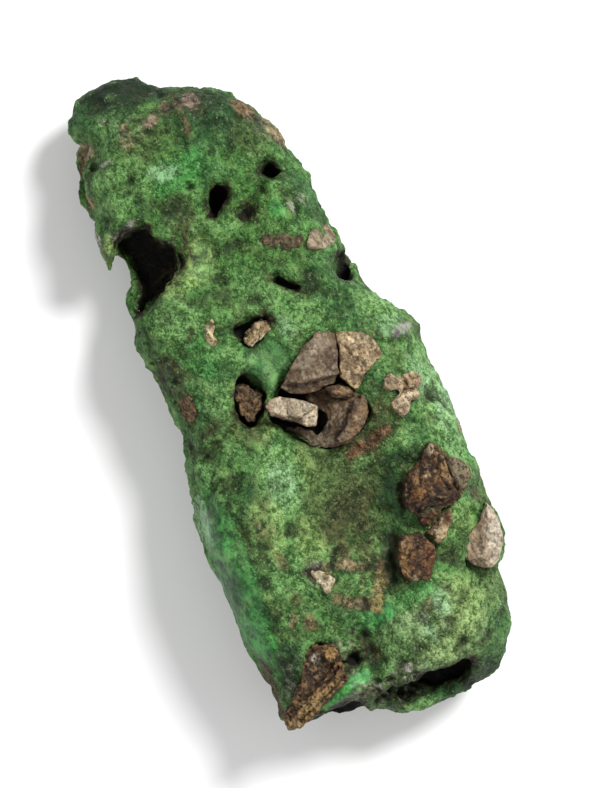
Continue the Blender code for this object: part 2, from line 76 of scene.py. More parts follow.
# How the crust meets a fragment
ROCK_GROWTH = 0.16  # how far a fragment grows into the gap round it
ROOT_GROWTH = 0.7  # how far the crust's filling of a pocket reaches past the fragment's side
ROOT_DROP = 1.3  # how far below the fragment's top the filling ends
DEEP_ROOT = 2.0  # a filling that ends lower than this stays inside its pocket
DEEP_ROOT_GROWTH = 0.1
ROOT_DROPS = {  # the same where a fragment stands well above the crust, lies level with it or is in a hollow
    "cracked_upper": 2.2, "cracked_left": 2.8, "cracked_right": 1.6, "block": 2.4, "large_brown": 3.2,
    "russet": 2.8, "small_tan": 1.8, "rim_grey": 1.0, "forked": 1.2, "pale_chip": 1.1, "band_tan": 1.3,
    "band_brown": 0.5, "sliver_tan": 0.5, "corner_porous": 2.2, "pit_tan": 4.5, "pit_brown": 4.5,
}
CLIMBS = {  # how far below a fragment's top the crust ends that has grown up its sides
    "cracked_upper": 1.4, "cracked_right": 1.2, "large_brown": 2.6, "russet": 2.0, "small_tan": 1.2,
    "rim_grey": 1.2, "forked": 0.7, "pale_chip": 0.7,
}
CLIMB_REACH = 2.6  # how far from the fragment that growth starts
CLIMB_DEPTH = 5.0  # how far below its end it starts
CLIMB_SHARE = 0.8  # how much of the way up it gets

# Edges of openings, thin edges and blocks
EDGE_SEED = 11  # of the way that edges stray
UNEVEN_STEP = 0.5  # how often an edge turns
EDGE_WOBBLE = 0.15  # how far it strays on the thin edges of the crust
PLAN_WOBBLE = 0.12  # and on a fragment's blocks
RIM_WEAR = 0.9  # how far the rim of an opening is worn down

# Where the seen face of the stone starts, and where all of it is seen; and where the back starts
FACE_HEIGHTS = (8.0, 11.0)
BACK_HEIGHT = 6.5

# Finishes in the studio's light
STUDIO_SHARE = 0.6  # the light shows a finish brighter than it is, so this share of it is used
ROCK_WARMTH = (1.04, 1.0, 0.9)  # host rock reads a little warmer than its finishes

# Relief of the crust: spacing, height and seed of its lumps
LUMPS = [(7.0, 0.5, 3.0), (3.3, 0.62, 11.0), (1.8, 0.42, 23.0)]
GRAINS = [(1.3, 0.22, 5.0), (0.75, 0.16, 31.0)]
PIT_SPACING = 4.6
PIT_DEPTH = 0.75
SPECK_SPACING = 2.2  # of the small dark specks

# Shelter: how many ways each point looks out, and how far
LOOKS_OUT = 28
LOOK_REACH = 8.0

# Finishes as the eye reads them in soft white light, 0 to 255
MEADOW = (86, 138, 70)
LEAF = (122, 174, 100)
SPRING = (144, 180, 102)
MINT = (150, 198, 146)
SAGE = (148, 178, 122)
EMERALD = (70, 154, 72)
JADE = (80, 158, 84)
FERN = (66, 122, 46)
PINE = (42, 92, 46)
DEEP = (26, 56, 26)
MOSS = (84, 106, 56)
UMBER_GREEN = (62, 66, 36)
NIGHT = (12, 15, 9)
HONEY = (170, 158, 104)
CHALK = (186, 188, 178)
PEARL_GREY = (146, 142, 136)
TAN = (170, 148, 114)
CLAY = (134, 104, 78)
BROWN = (92, 68, 46)
BARK = (52, 36, 24)
ROSE = (160, 134, 120)
RUST = (142, 104, 76)

# Finishes of host rock that shows through the crust, with broken edges
ROCKY = (ROSE, RUST, CLAY, TAN, HONEY, PEARL_GREY, CHALK, BROWN)

# Painted patches of the crust, in the order that they are laid: finish, middle x and y, half sizes,
# turn in degrees, strength, and how soft the edge is where it is softer than most
PATCHES = [
    # The narrow half
    (FERN, -40.0, -2.0, 24.0, 24.0, 0, 0.55, 0.5), (PINE, -46.0, 3.0, 6.5, 5.5, 30, 0.55),
    (DEEP, -46.0, 7.0, 7.0, 4.6, 40, 0.65, 0.5), (DEEP, -45.0, 1.0, 6.0, 4.0, 0, 0.4, 0.6),
    (MOSS, -41.0, 9.0, 4.0, 3.0, 20, 0.5), (MOSS, -47.0, -8.0, 4.0, 5.0, 0, 0.45),
    (EMERALD, -39.5, -4.0, 3.0, 5.0, 10, 0.65), (MINT, -40.6, -6.5, 1.6, 3.0, -10, 0.5),
    (LEAF, -42.0, -13.0, 5.0, 3.4, 0, 0.5), (LEAF, -43.0, -18.0, 5.0, 2.4, -10, 0.5),
    (PINE, -37.0, 1.5, 2.6, 3.0, 0, 0.4), (DEEP, -36.8, -12.2, 2.2, 1.1, -15, 0.6),
    # The umber green and bark here are painted shade on the right wall of the cavity
    (UMBER_GREEN, -24.0, -12.4, 1.7, 5.0, 16, 0.9), (BARK, -24.3, -12.8, 1.5, 4.8, 16, 0.95),
    (MOSS, -33.4, -6.6, 3.4, 2.6, -20, 0.7), (DEEP, -33.2, -7.2, 3.0, 2.4, -10, 0.85, 0.5),
    (MOSS, -29.4, -5.8, 2.6, 2.0, 0, 0.5),
    (LEAF, -28.5, -1.0, 2.2, 2.2, 0, 0.4), (SPRING, -24.6, -6.6, 3.6, 2.6, -28, 0.95, 0.5),
    (SPRING, -22.2, -11.0, 1.6, 3.6, 14, 0.6), (LEAF, -37.0, -17.5, 3.0, 2.4, 0, 0.5),
    (PINE, -28.0, 14.0, 6.5, 1.6, 8, 0.5), (LEAF, -31.0, 11.0, 2.4, 2.0, 0, 0.3),
    (EMERALD, -27.6, 8.6, 1.7, 1.5, 0, 0.6), (DEEP, -26.6, 11.8, 1.7, 0.5, -8, 0.8),
    (CHALK, -27.4, 10.9, 1.1, 0.45, 0, 0.55), (CHALK, -28.0, 13.2, 1.0, 0.6, 20, 0.4),
    # The deep green and night over the narrow tip are partly its own dark green and partly a painted cast shadow
    (DEEP, -57.0, -9.6, 4.6, 8.0, -12, 0.9, 0.5), (NIGHT, -57.6, -9.6, 3.0, 6.6, -14, 0.6, 0.7),
    (DEEP, -54.8, -3.4, 1.6, 2.8, -40, 0.75),
    (DEEP, -51.5, 3.0, 1.4, 5.5, -32, 0.5), (PINE, -54.2, -16.0, 2.2, 2.6, 0, 0.6),
    (ROSE, -50.2, 2.2, 1.6, 1.3, 30, 0.85), (CLAY, -50.6, 0.0, 1.7, 0.4, 0, 0.7),
    (CLAY, -50.8, -2.1, 1.2, 0.9, 0, 0.75), (ROSE, -49.5, -5.4, 1.0, 1.4, 20, 0.7),
    (TAN, -48.4, -10.3, 2.2, 1.0, -6, 0.85), (CLAY, -46.4, -0.2, 2.0, 0.5, -12, 0.6),
    (TAN, -49.4, -17.9, 1.5, 1.9, -40, 0.85), (CLAY, -47.6, -18.9, 1.6, 0.8, -30, 0.6),
    (CLAY, -46.0, 9.9, 2.6, 1.2, 36, 0.75), (TAN, -40.4, 13.4, 2.7, 1.3, 12, 0.85),
    (NIGHT, -43.5, 11.8, 1.3, 0.8, 30, 0.8), (CHALK, -45.6, -14.9, 0.5, 1.0, 0, 0.6),
    (CHALK, -52.6, -13.3, 0.5, 0.7, 0, 0.5), (CHALK, -34.2, -21.7, 1.7, 0.7, -6, 0.95),
    (PEARL_GREY, -34.1, -16.9, 2.6, 0.8, 108, 0.85), (TAN, -41.2, -20.2, 1.4, 0.5, 0, 0.7),
    (SPRING, -32.0, -20.3, 2.6, 1.2, -24, 0.8),
    # The middle
    (LEAF, -16.5, -14.0, 4.2, 4.2, 0, 0.7), (LEAF, -16.0, 0.6, 3.6, 3.6, 0, 0.45),
    (MEADOW, -19.0, -4.0, 4.0, 4.0, 0, 0.4),
    (LEAF, 0.0, -13.5, 5.0, 2.0, -8, 0.5), (TAN, 9.4, 11.6, 0.7, 0.6, 0, 0.7),
    (PINE, -12.0, 12.2, 6.5, 3.6, 10, 0.5), (DEEP, -8.6, 13.0, 1.8, 1.6, 0, 0.4),
    (LEAF, -10.0, 6.6, 3.0, 3.0, 0, 0.4), (MINT, -9.0, 2.6, 2.0, 1.4, 0, 0.4),
    (PINE, -4.6, -2.6, 4.4, 4.6, -40, 0.6), (EMERALD, -9.4, -12.4, 4.0, 3.0, 0, 0.4),
    (LEAF, -6.0, 18.0, 3.6, 2.6, 30, 0.6), (MINT, -3.0, 18.6, 2.0, 2.4, 0, 0.4),
    (MOSS, 2.6, 17.6, 3.4, 1.6, 0, 0.5),
    # The pine patch beside the upper cracked fragment is painted shade
    (PEARL_GREY, -1.3, 20.4, 2.1, 0.9, 104, 0.95), (PINE, 4.6, 13.0, 1.6, 2.4, 20, 0.5),
    (LEAF, 6.0, 22.0, 5.0, 1.5, 0, 0.5), (MINT, 10.0, 23.0, 5.0, 1.2, 0, 0.4),
    (MOSS, 11.0, 12.6, 3.4, 2.4, 0, 0.6), (UMBER_GREEN, 12.6, 8.0, 3.0, 5.0, 20, 0.5),
    (LEAF, 14.0, 21.2, 8.0, 2.4, 0, 0.85, 0.5), (MINT, 16.0, 22.0, 6.0, 1.6, -4, 0.7),
    (MINT, 7.0, 20.0, 4.0, 1.8, 8, 0.4), (PINE, 7.0, 12.8, 1.8, 1.4, 0, 0.5),
    (SPRING, 4.6, -7.6, 3.0, 2.6, -30, 0.6), (MOSS, 3.4, -13.0, 2.6, 2.8, -60, 0.35),
    (UMBER_GREEN, -8.6, -18.4, 3.8, 2.4, 0, 0.75), (DEEP, -8.0, -19.2, 1.4, 1.4, 0, 0.6),
    # The dish and what lies round it
    (MOSS, 20.0, -0.5, 11.0, 6.0, -8, 0.85), (UMBER_GREEN, 25.6, 0.2, 6.0, 4.4, -20, 0.65),
    # These three lines are painted shade on the steep wall of the dish, below the large brown and russet fragments
    (UMBER_GREEN, 18.0, 6.5, 6.0, 3.6, 0, 0.6), (DEEP, 18.6, 12.4, 1.6, 3.8, 0, 0.65),
    (DEEP, 24.0, 8.6, 4.6, 2.2, -12, 0.8), (NIGHT, 23.6, 9.4, 2.4, 1.2, -14, 0.55),
    (DEEP, 33.4, 4.3, 5.6, 1.7, -20, 0.95), (NIGHT, 33.0, 4.7, 4.6, 0.8, -20, 0.6),
    (SPRING, 14.0, -3.4, 4.0, 2.0, -10, 0.4), (MEADOW, 29.0, -0.6, 3.0, 3.4, 0, 0.3),
    (LEAF, 14.4, -8.0, 6.4, 3.8, -10, 0.9), (MINT, 15.0, -8.0, 3.8, 2.6, -20, 0.5),
    (SPRING, 26.0, -7.0, 4.4, 2.6, 0, 0.6), (SPRING, 20.6, -12.6, 5.4, 2.8, -10, 0.5),
    (LEAF, 30.0, -12.4, 4.0, 3.4, 0, 0.5), (MOSS, 24.0, -16.4, 5.0, 1.6, 0, 0.4),
    (LEAF, 35.6, -2.6, 2.4, 2.4, 0, 0.5), (DEEP, 32.6, -3.4, 0.7, 1.4, -30, 0.6),
    (DEEP, 32.4, 1.6, 1.3, 1.6, 0, 0.7), (CHALK, 38.4, -3.6, 1.1, 0.5, 0, 0.6),
    (CLAY, 29.2, -2.6, 1.4, 1.0, 0, 0.4), (PEARL_GREY, 31.3, -7.7, 1.8, 1.6, 0, 0.75),
    (BARK, 30.4, -9.2, 0.8, 0.8, 0, 0.7), (CLAY, 38.1, -12.2, 1.4, 0.8, -6, 0.9),
    (CLAY, 27.2, -12.8, 1.5, 0.7, 10, 0.5), (BROWN, 33.6, -12.8, 0.9, 0.9, 0, 0.5),
    (TAN, 37.0, -14.8, 1.4, 0.5, -30, 0.6), (DEEP, 23.8, -14.8, 2.2, 0.8, 6, 0.55),
    (CHALK, 29.6, -8.0, 0.4, 1.0, 0, 0.4), (DEEP, 13.6, -13.4, 2.6, 2.4, -45, 0.5),
    # The +Y edge
    (LEAF, 18.0, 22.2, 5.0, 1.6, -6, 0.6), (EMERALD, 22.4, 23.0, 2.0, 1.0, 0, 0.4),
    (MOSS, 28.4, 22.4, 3.0, 1.4, -20, 0.5), (BROWN, 28.4, 21.2, 1.4, 0.5, 30, 0.5),
    (SPRING, 31.4, 18.0, 2.6, 2.4, -50, 0.4), (TAN, 17.6, 23.9, 1.2, 0.7, 0, 0.6),
    (UMBER_GREEN, 38.0, 14.4, 2.2, 1.0, 20, 0.5), (MOSS, 35.8, 13.4, 2.0, 1.6, 0, 0.5),
    # The wide end
    (SAGE, 46.8, 6.6, 6.8, 8.4, 0, 0.7, 0.5), (SPRING, 45.2, 12.6, 5.2, 3.2, -20, 0.65),
    (SPRING, 50.0, 7.0, 2.6, 3.6, 0, 0.4), (MINT, 43.0, 9.4, 2.6, 1.4, 20, 0.6),
    (MINT, 46.6, 5.6, 2.6, 1.0, 10, 0.55), (CHALK, 44.2, 5.6, 1.2, 0.9, 0, 0.3),
    (CLAY, 42.7, 7.0, 1.0, 0.7, 0, 0.45), (EMERALD, 40.4, 5.6, 1.6, 4.6, 10, 0.6),
    (MEADOW, 47.4, 1.0, 3.6, 3.0, 0, 0.4), (JADE, 41.6, -1.6, 1.7, 3.4, 8, 1.0),
    (JADE, 41.5, -1.3, 1.6, 3.0, 8, 0.8),
    (DEEP, 43.3, -4.3, 0.9, 1.1, 0, 0.7), (PINE, 39.0, -6.6, 3.4, 1.7, 24, 0.6),
    (BARK, 46.0, -5.4, 2.8, 1.3, 24, 0.6),
    (PEARL_GREY, 47.6, -8.6, 2.2, 0.7, 0, 0.35), (DEEP, 48.8, -5.0, 3.2, 1.2, -10, 0.6),
    (BROWN, 47.4, -3.8, 1.4, 0.7, 0, 0.5), (JADE, 50.2, -8.6, 1.3, 2.6, 12, 0.95),
    (EMERALD, 51.7, -13.0, 0.9, 3.4, 20, 0.85), (MINT, 50.6, -8.8, 0.6, 1.2, 10, 0.5),
    (PEARL_GREY, 52.9, -9.2, 0.9, 3.4, 0, 0.45),
    (BARK, 53.2, -1.6, 2.0, 3.6, 0, 0.5), (CHALK, 51.4, -0.4, 0.7, 0.7, 0, 0.45),
    (PINE, 51.0, 17.0, 5.0, 2.4, -30, 0.5), (MOSS, 45.0, 18.4, 4.6, 2.0, -4, 0.6),
    # The night patch along the crevice is a painted shadow under the lip
    (DEEP, 55.6, 14.0, 2.6, 3.6, -30, 0.7, 0.5), (NIGHT, 55.3, 5.6, 1.6, 5.4, 2, 0.9),
    (UMBER_GREEN, 55.6, -2.0, 2.4, 6.0, -8, 0.7), (DEEP, 58.2, 10.0, 1.8, 4.6, -2, 0.85),
    (NIGHT, 58.2, 8.6, 0.8, 1.0, 0, 0.7), (MOSS, 58.6, 11.6, 0.8, 1.2, 0, 0.5),
    (PINE, 58.4, 4.2, 1.2, 3.2, 0, 0.7), (LEAF, 58.2, -0.6, 1.3, 2.8, 2, 0.8),
    (LEAF, 56.0, -7.0, 1.6, 1.4, 0, 0.5),
    # The night patch at the undercut beside the corner is a painted shadow
    (DEEP, 57.2, -6.0, 1.9, 2.8, -24, 0.4), (NIGHT, 54.9, -14.6, 1.2, 5.6, 0, 0.95),
    # The smooth side and the corner
    (EMERALD, 27.0, -20.8, 16.0, 3.0, -2, 0.8), (PINE, 24.0, -18.6, 9.0, 1.3, 4, 0.35),
    (MINT, 15.8, -22.5, 4.6, 1.3, -8, 0.85), (DEEP, 16.0, -20.4, 1.5, 1.2, 0, 0.65),
    (PINE, 27.0, -22.2, 6.0, 1.6, 0, 0.65),
    (JADE, 22.0, -20.2, 2.2, 1.0, 0, 0.5), (EMERALD, 37.0, -20.8, 4.4, 2.2, 0, 0.7),
    (DEEP, 34.6, -18.4, 3.2, 0.8, -6, 0.45), (PINE, 45.6, -18.2, 6.4, 2.3, -18, 0.7),
    (DEEP, 42.0, -18.0, 3.6, 1.6, -10, 0.6), (PEARL_GREY, 47.0, -19.4, 3.0, 1.0, -16, 0.25),
    (BROWN, 46.4, -22.5, 5.4, 0.95, 0, 0.95), (BARK, 43.0, -22.2, 2.6, 0.5, 10, 0.5),
]

# Painted lines of the crust: finish, points, half width, strength
STREAKS = [
    (RUST, [(14.8, 4.6), (14.3, 7.6), (13.5, 11.4)], 1.1, 0.85),
    (JADE, [(41.9, 0.8), (41.6, -1.4), (41.2, -3.2)], 1.0, 0.8),
    (CLAY, [(33.2, 2.3), (34.8, 1.9), (36.2, 1.4)], 0.75, 0.8),
    (HONEY, [(36.0, 1.4), (37.4, 0.5), (38.8, -0.5), (39.8, -1.3)], 1.1, 1.5),
    (TAN, [(33.0, -0.8), (31.8, -2.6), (30.8, -4.0)], 0.8, 0.6),
    (TAN, [(38.7, -3.0), (37.7, -4.8), (36.2, -6.4)], 1.0, 0.5),
    (HONEY, [(30.4, -6.2), (31.8, -6.4)], 0.6, 0.5),
    (BARK, [(38.1, -2.4), (39.9, -2.7)], 0.5, 0.85),
    (BARK, [(33.7, 1.6), (33.5, 0.2), (32.9, -0.2)], 0.5, 0.85),
    # The night line lies in a furrow and is painted shade
    (NIGHT, [(28.3, -3.7), (29.2, -4.6), (30.3, -5.4), (31.4, -5.0)], 0.35, 0.85),
    (BARK, [(30.6, -7.4), (30.4, -9.6)], 0.6, 0.8),
    (BARK, [(26.0, -1.6), (27.0, -2.3)], 0.35, 0.7),
    (BARK, [(27.0, 1.6), (27.4, 0.6)], 0.4, 0.7),
    (BARK, [(-14.4, -12.2), (-12.8, -13.4)], 0.3, 0.6),
    (BARK, [(2.4, -15.2), (2.8, -17.4)], 0.4, 0.6),
]

# Openings cut with steep sides: outline in plan, height of the floor, how uneven the edge is, how dark the inside
# is painted, partly for its dark coating and partly as painted shade
OPENINGS = [
    # The cavity of the narrow half, with the lobe that hangs over its corner
    ([(-34.2, -13.2), (-33.3, -12.3), (-31.6, -12.5), (-30.4, -11.8), (-29.9, -10.4), (-29.9, -9.2),
      (-28.6, -9.6), (-27.0, -9.9), (-25.8, -10.6), (-25.2, -12.2), (-24.6, -13.8), (-23.6, -15.8),
      (-22.0, -17.4), (-19.9, -18.9), (-19.9, -20.6), (-21.6, -19.8), (-23.0, -18.4), (-24.6, -17.8),
      (-27.5, -17.4), (-30.5, -17.8), (-32.8, -18.6), (-33.6, -17.2), (-33.9, -15.2)], 9.0, 0.25, 1.0),
    # The notch between the spike and the cavity's rim
    ([(-31.9, -19.1), (-30.9, -20.0), (-29.9, -20.8), (-29.4, -22.8), (-23.6, -22.8), (-23.9, -21.0),
      (-24.8, -19.6), (-25.2, -19.1), (-26.4, -18.7), (-28.2, -18.2), (-29.4, -18.3), (-30.9, -18.8)],
     -1.0, 0.1, 0.0),
    # The slot and the holes beside it
    ([(-35.0, 1.6), (-34.0, 2.4), (-32.8, 1.9), (-31.6, 0.9), (-30.9, -0.8), (-29.8, -1.9), (-30.4, -2.9),
      (-31.8, -2.2), (-33.0, -1.6), (-34.6, -0.8), (-35.5, 0.6)], 13.5, 0.5, 0.95),
    ([(-36.0, 11.0), (-34.9, 11.2), (-34.0, 12.0), (-33.0, 10.6), (-33.4, 9.4), (-34.6, 8.2), (-35.4, 9.0)],
     14.0, 0.6, 0.9),
    ([(-30.9, 4.4), (-29.6, 5.4), (-28.0, 4.6), (-27.7, 3.2), (-28.6, 2.4), (-29.8, 2.0), (-30.4, 3.0)],
     18.6, 0.6, 0.7),
    ([(-17.9, 16.4), (-16.8, 17.2), (-14.6, 16.4), (-12.9, 16.3), (-12.2, 14.9), (-13.6, 14.0), (-15.4, 14.5),
      (-17.4, 15.0)], 10.0, 0.5, 0.8),
    # The slit, and the cavities round two of the fragments
    ([(-18.2, 2.6), (-17.2, 2.9), (-16.0, 4.5), (-14.8, 5.4), (-13.4, 6.3), (-12.7, 7.5), (-14.2, 7.5),
      (-15.6, 6.3), (-16.9, 5.5)], 19.0, 0.3, 0.85),
    ([(-12.7, 0.6), (-11.0, 0.9), (-10.4, -0.2), (-10.2, -4.0), (-9.8, -5.4), (-11.6, -6.2), (-12.6, -5.2),
      (-12.3, -2.4)], 17.0, 0.5, 0.95),
    ([(-4.2, -6.6), (-2.0, -6.4), (0.0, -4.6), (2.6, -5.6), (4.8, -9.6), (3.0, -10.6), (-1.6, -10.4),
      (-4.0, -8.6)], 17.6, 0.5, 0.9),
    # What lies open under and between the cracked fragments
    ([(-4.4, 7.0), (-3.2, 10.6), (-1.8, 13.2), (0.2, 13.9), (1.0, 11.8), (3.2, 10.0), (4.4, 8.8), (7.4, 8.8),
      (9.6, 7.6), (11.0, 5.0), (10.8, 1.6), (9.4, -0.6), (7.4, -2.4), (6.0, -4.4), (4.7, -5.6), (3.2, -5.3),
      (1.9, -3.6), (0.8, -2.6), (-0.6, -1.6), (-1.0, 0.6), (-2.4, 2.6), (-3.4, 4.4)], 18.4, 0.2, 1.0),
    # The crevice behind the lip of the wide end, and the undercut beside the corner
    ([(53.7, 10.8), (53.3, 9.4), (53.6, 7.4), (53.4, 4.6), (53.4, 2.4), (53.9, 0.8), (54.6, 0.0), (55.3, 0.9),
      (56.4, 2.2), (56.9, 4.0), (57.1, 6.0), (56.6, 7.8), (55.8, 9.2), (54.8, 10.8)], 10.0, 0.45, 1.0),
    ([(53.9, -8.8), (53.1, -11.6), (53.1, -14.0), (53.4, -17.0), (54.0, -19.4), (60.0, -20.4), (60.0, -11.0),
      (56.2, -9.2)], 6.5, 0.2, 1.0),
    # The dark hollow above the corner fragment, and the gaps along two of the brown ones
    ([(45.5, -7.4), (46.2, -6.4), (47.7, -6.2), (48.2, -7.4), (48.0, -9.4), (46.6, -9.8), (45.8, -9.0)],
     19.2, 0.5, 0.9),
    ([(20.0, 14.0), (21.0, 12.2), (22.4, 10.9), (24.0, 10.3), (25.9, 9.7), (25.6, 9.3), (23.4, 9.9),
      (21.8, 10.9), (20.6, 12.4)], 20.6, 0.2, 0.85),
    ([(30.2, 6.9), (31.4, 6.4), (34.4, 4.9), (36.8, 4.9), (38.4, 6.2), (38.6, 5.6), (36.8, 4.5), (34.2, 4.4),
      (31.0, 5.8)], 19.6, 0.2, 0.85),
]

# Ground broken up into light and dark grit: middle x and y, half sizes, turn, light and dark finish, how light
# and how dark
GRITTY = [
    (54.4, -1.6, 2.8, 4.8, 0, CHALK, NIGHT, 0.65, 0.8), (52.6, -8.2, 1.6, 3.4, 8, PEARL_GREY, BARK, 0.6, 0.7),
    (57.6, 9.6, 2.1, 4.8, 0, MOSS, NIGHT, 0.4, 0.9), (51.8, 0.0, 1.3, 3.4, 0, CHALK, BARK, 0.4, 0.6),
    (-24.0, -12.6, 1.7, 4.8, 16, TAN, BARK, 0.35, 1.0), (45.0, -6.0, 3.2, 1.8, -12, MOSS, BARK, 0.3, 0.9),
    (43.4, -8.2, 1.8, 1.6, 0, PEARL_GREY, BARK, 0.4, 0.7),
    (46.0, -18.4, 5.6, 2.0, -18, PEARL_GREY, NIGHT, 0.3, 0.6),
    (31.4, -8.4, 2.6, 2.4, 0, PEARL_GREY, BARK, 0.3, 0.7), (34.0, 0.6, 4.6, 3.2, -20, HONEY, BARK, 0.35, 0.55),
    (-50.4, 0.6, 3.4, 4.4, 0, PEARL_GREY, BARK, 0.15, 0.5), (-48.2, -9.0, 3.6, 3.0, 0, ROSE, BARK, 0.2, 0.5),
    (-42.6, 11.4, 4.6, 1.6, 24, ROSE, BARK, 0.3, 0.6), (8.0, 12.0, 3.6, 3.0, 0, HONEY, BARK, 0.2, 0.4),
    (12.6, 8.6, 3.4, 3.0, 0, CLAY, UMBER_GREEN, 0.3, 0.6), (24.6, 1.6, 6.4, 5.2, 0, HONEY, UMBER_GREEN, 0.12, 0.6),
    (-8.4, -18.0, 3.8, 2.6, 0, PEARL_GREY, BARK, 0.2, 0.6),
    (40.0, -9.8, 3.0, 3.6, 0, SPRING, UMBER_GREEN, 0.2, 0.5),
    (-33.0, -7.4, 3.4, 2.4, 0, SPRING, UMBER_GREEN, 0.15, 0.6),
    (-30.0, -7.4, 3.2, 1.6, -10, HONEY, BARK, 0.15, 0.5),
    (-4.4, 16.0, 2.2, 1.6, 0, MOSS, BARK, 0.2, 0.5), (-10.0, 12.6, 5.0, 2.4, 20, LEAF, DEEP, 0.3, 0.6),
    (-20.0, -14.0, 3.6, 4.0, 0, LEAF, DEEP, 0.3, 0.5), (22.0, -14.6, 5.0, 2.4, -6, HONEY, DEEP, 0.3, 0.6),
    (-28.0, -7.6, 2.4, 1.4, 0, HONEY, BARK, 0.3, 0.6), (-34.6, 9.8, 2.6, 2.6, 0, LEAF, NIGHT, 0.2, 0.5),
    (-29.4, 3.8, 2.6, 2.2, 0, TAN, BARK, 0.2, 0.6), (-50.0, -12.0, 3.0, 5.0, 0, MINT, DEEP, 0.3, 0.6),
    (3.0, -9.6, 4.0, 2.2, -20, HONEY, UMBER_GREEN, 0.3, 0.6), (12.0, -16.8, 4.0, 2.4, -30, MOSS, BARK, 0.3, 0.6),
]

# Thin edges that stand out past the stone's solid: outline in plan, height of the underside and of the top
EDGES = [
    ([(-57.6, -16.2), (-54.2, -19.4), (-51.8, -18.3), (-50.6, -14.0), (-56.0, -13.0)], 8.6, 11.4),
    ([(-50.2, -18.6), (-47.6, -19.9), (-43.6, -21.8), (-38.5, -20.8), (-38.0, -17.6), (-48.0, -15.6)], 8.0, 11.6),
    ([(-38.6, -20.4), (-34.4, -22.1), (-31.8, -21.9), (-29.2, -21.7), (-30.2, -20.6), (-32.0, -19.0),
      (-33.4, -18.2), (-36.0, -17.6)], 10.4, 13.2),
    ([(-4.0, 22.2), (-1.0, 24.2), (1.8, 23.5), (1.0, 20.6), (-3.0, 20.0)], 9.4, 12.4),
    ([(52.0, -23.2), (54.4, -22.1), (54.2, -18.0), (50.0, -19.0), (48.0, -22.6)], 9.6, 12.0),
]

# Furrows and slits: points along the line, half width, depth
FURROWS = [
    ([(-24.8, 1.6), (-23.0, -2.2), (-21.2, -4.8)], 0.4, 0.7),
    ([(-26.4, -9.6), (-24.9, -10.6), (-24.2, -12.6), (-23.4, -14.6), (-22.2, -16.6)], 1.5, 2.4),
    ([(3.1, -11.2), (4.2, -13.8), (5.2, -16.6), (7.0, -19.1)], 0.6, 1.1),
    ([(11.0, -13.7), (12.2, -14.8), (13.9, -15.6)], 0.5, 0.9),
    ([(10.8, -17.3), (11.6, -18.8), (12.7, -20.8)], 0.7, 1.2),
    ([(-27.4, 2.6), (-25.8, 0.8), (-25.0, 0.0)], 0.4, 0.6),
    ([(-12.0, -20.8), (-11.6, -19.4), (-11.8, -18.0)], 0.5, 0.9),
    ([(-8.9, -20.6), (-8.4, -19.2), (-7.4, -17.8)], 0.7, 1.1),
    ([(17.0, -17.6), (19.4, -17.5), (21.6, -16.8)], 0.45, 0.7),
    ([(16.2, -5.2), (18.0, -5.9)], 0.4, 0.6),
    ([(28.2, -3.4), (29.4, -4.5), (31.0, -5.2)], 0.5, 0.8),
    ([(-1.6, -0.8), (0.2, -2.2), (1.6, -3.0)], 0.8, 1.6),
    ([(38.6, 16.0), (40.2, 17.0), (41.4, 18.8)], 0.6, 1.2),
    ([(29.6, 6.3), (33.0, 4.9), (36.8, 4.4)], 0.7, 1.2),
    ([(21.0, 11.6), (23.4, 10.2), (26.0, 9.6)], 0.6, 1.1),
    ([(-45.0, -1.2), (-43.6, -1.6), (-42.4, -2.2)], 0.35, 0.5),
    ([(42.4, 20.6), (42.0, 18.0), (43.0, 15.8)], 0.5, 0.5),
    ([(-30.6, 5.6), (-31.8, 6.8), (-33.0, 8.4)], 0.8, 0.9),
]

# Single pits: x, y, half size, depth
PITS = [
    (-36.8, -3.7, 0.8, 1.5), (-41.4, -12.7, 0.7, 1.4), (-45.8, -17.3, 0.7, 1.4), (-19.8, -4.4, 0.6, 1.2),
    (-16.4, -6.5, 0.5, 1.1), (-26.3, 11.6, 0.7, 0.9), (-25.0, 0.0, 0.5, 0.9), (10.9, 20.8, 1.2, 1.3),
    (11.4, 22.9, 0.5, 0.8), (-47.9, -6.4, 0.5, 0.8), (-53.4, -2.4, 0.7, 1.1), (-39.4, -8.6, 0.4, 0.7),
    (-45.0, 8.2, 0.8, 1.0), (-38.9, 4.2, 0.4, 0.7), (-43.0, -4.4, 0.5, 0.8), (-17.6, 4.3, 0.6, 0.9),
    (26.5, 1.4, 0.7, 0.8), (44.3, -4.8, 0.9, 1.5), (52.2, -3.4, 0.6, 1.2), (53.0, 0.4, 0.5, 1.2),
    (51.6, -5.6, 0.5, 1.0), (56.9, -1.4, 0.6, 1.1), (57.3, 2.6, 0.5, 0.9), (42.6, -12.2, 0.5, 0.8),
    (-20.4, 12.4, 0.4, 0.6), (-33.4, 12.6, 0.4, 0.5), (4.6, -6.2, 0.4, 0.6), (-46.9, -4.0, 0.4, 0.6),
    (12.0, -8.6, 0.3, 0.4), (33.4, -13.4, 0.5, 0.7), (22.4, -18.9, 0.3, 0.4), (-6.6, 16.4, 0.4, 0.5),
    (54.2, -1.7, 0.5, 1.3), (55.5, -2.8, 0.6, 1.4), (54.1, -4.1, 0.5, 1.2), (56.4, -1.0, 0.5, 1.1),
    (55.0, -5.2, 0.5, 0.9), (52.0, -3.8, 0.5, 1.0), (51.3, -2.0, 0.4, 0.9), (53.0, -6.5, 0.5, 0.9),
    (57.1, 0.8, 0.4, 0.9), (58.2, 9.0, 0.6, 0.9), (50.4, 10.0, 0.5, 0.8), (43.6, 8.2, 0.6, 0.8),
    (48.6, -3.4, 0.8, 1.0), (46.4, -4.6, 0.9, 1.1), (-22.2, -18.9, 0.5, 0.6), (13.6, 16.4, 0.5, 0.6),
]

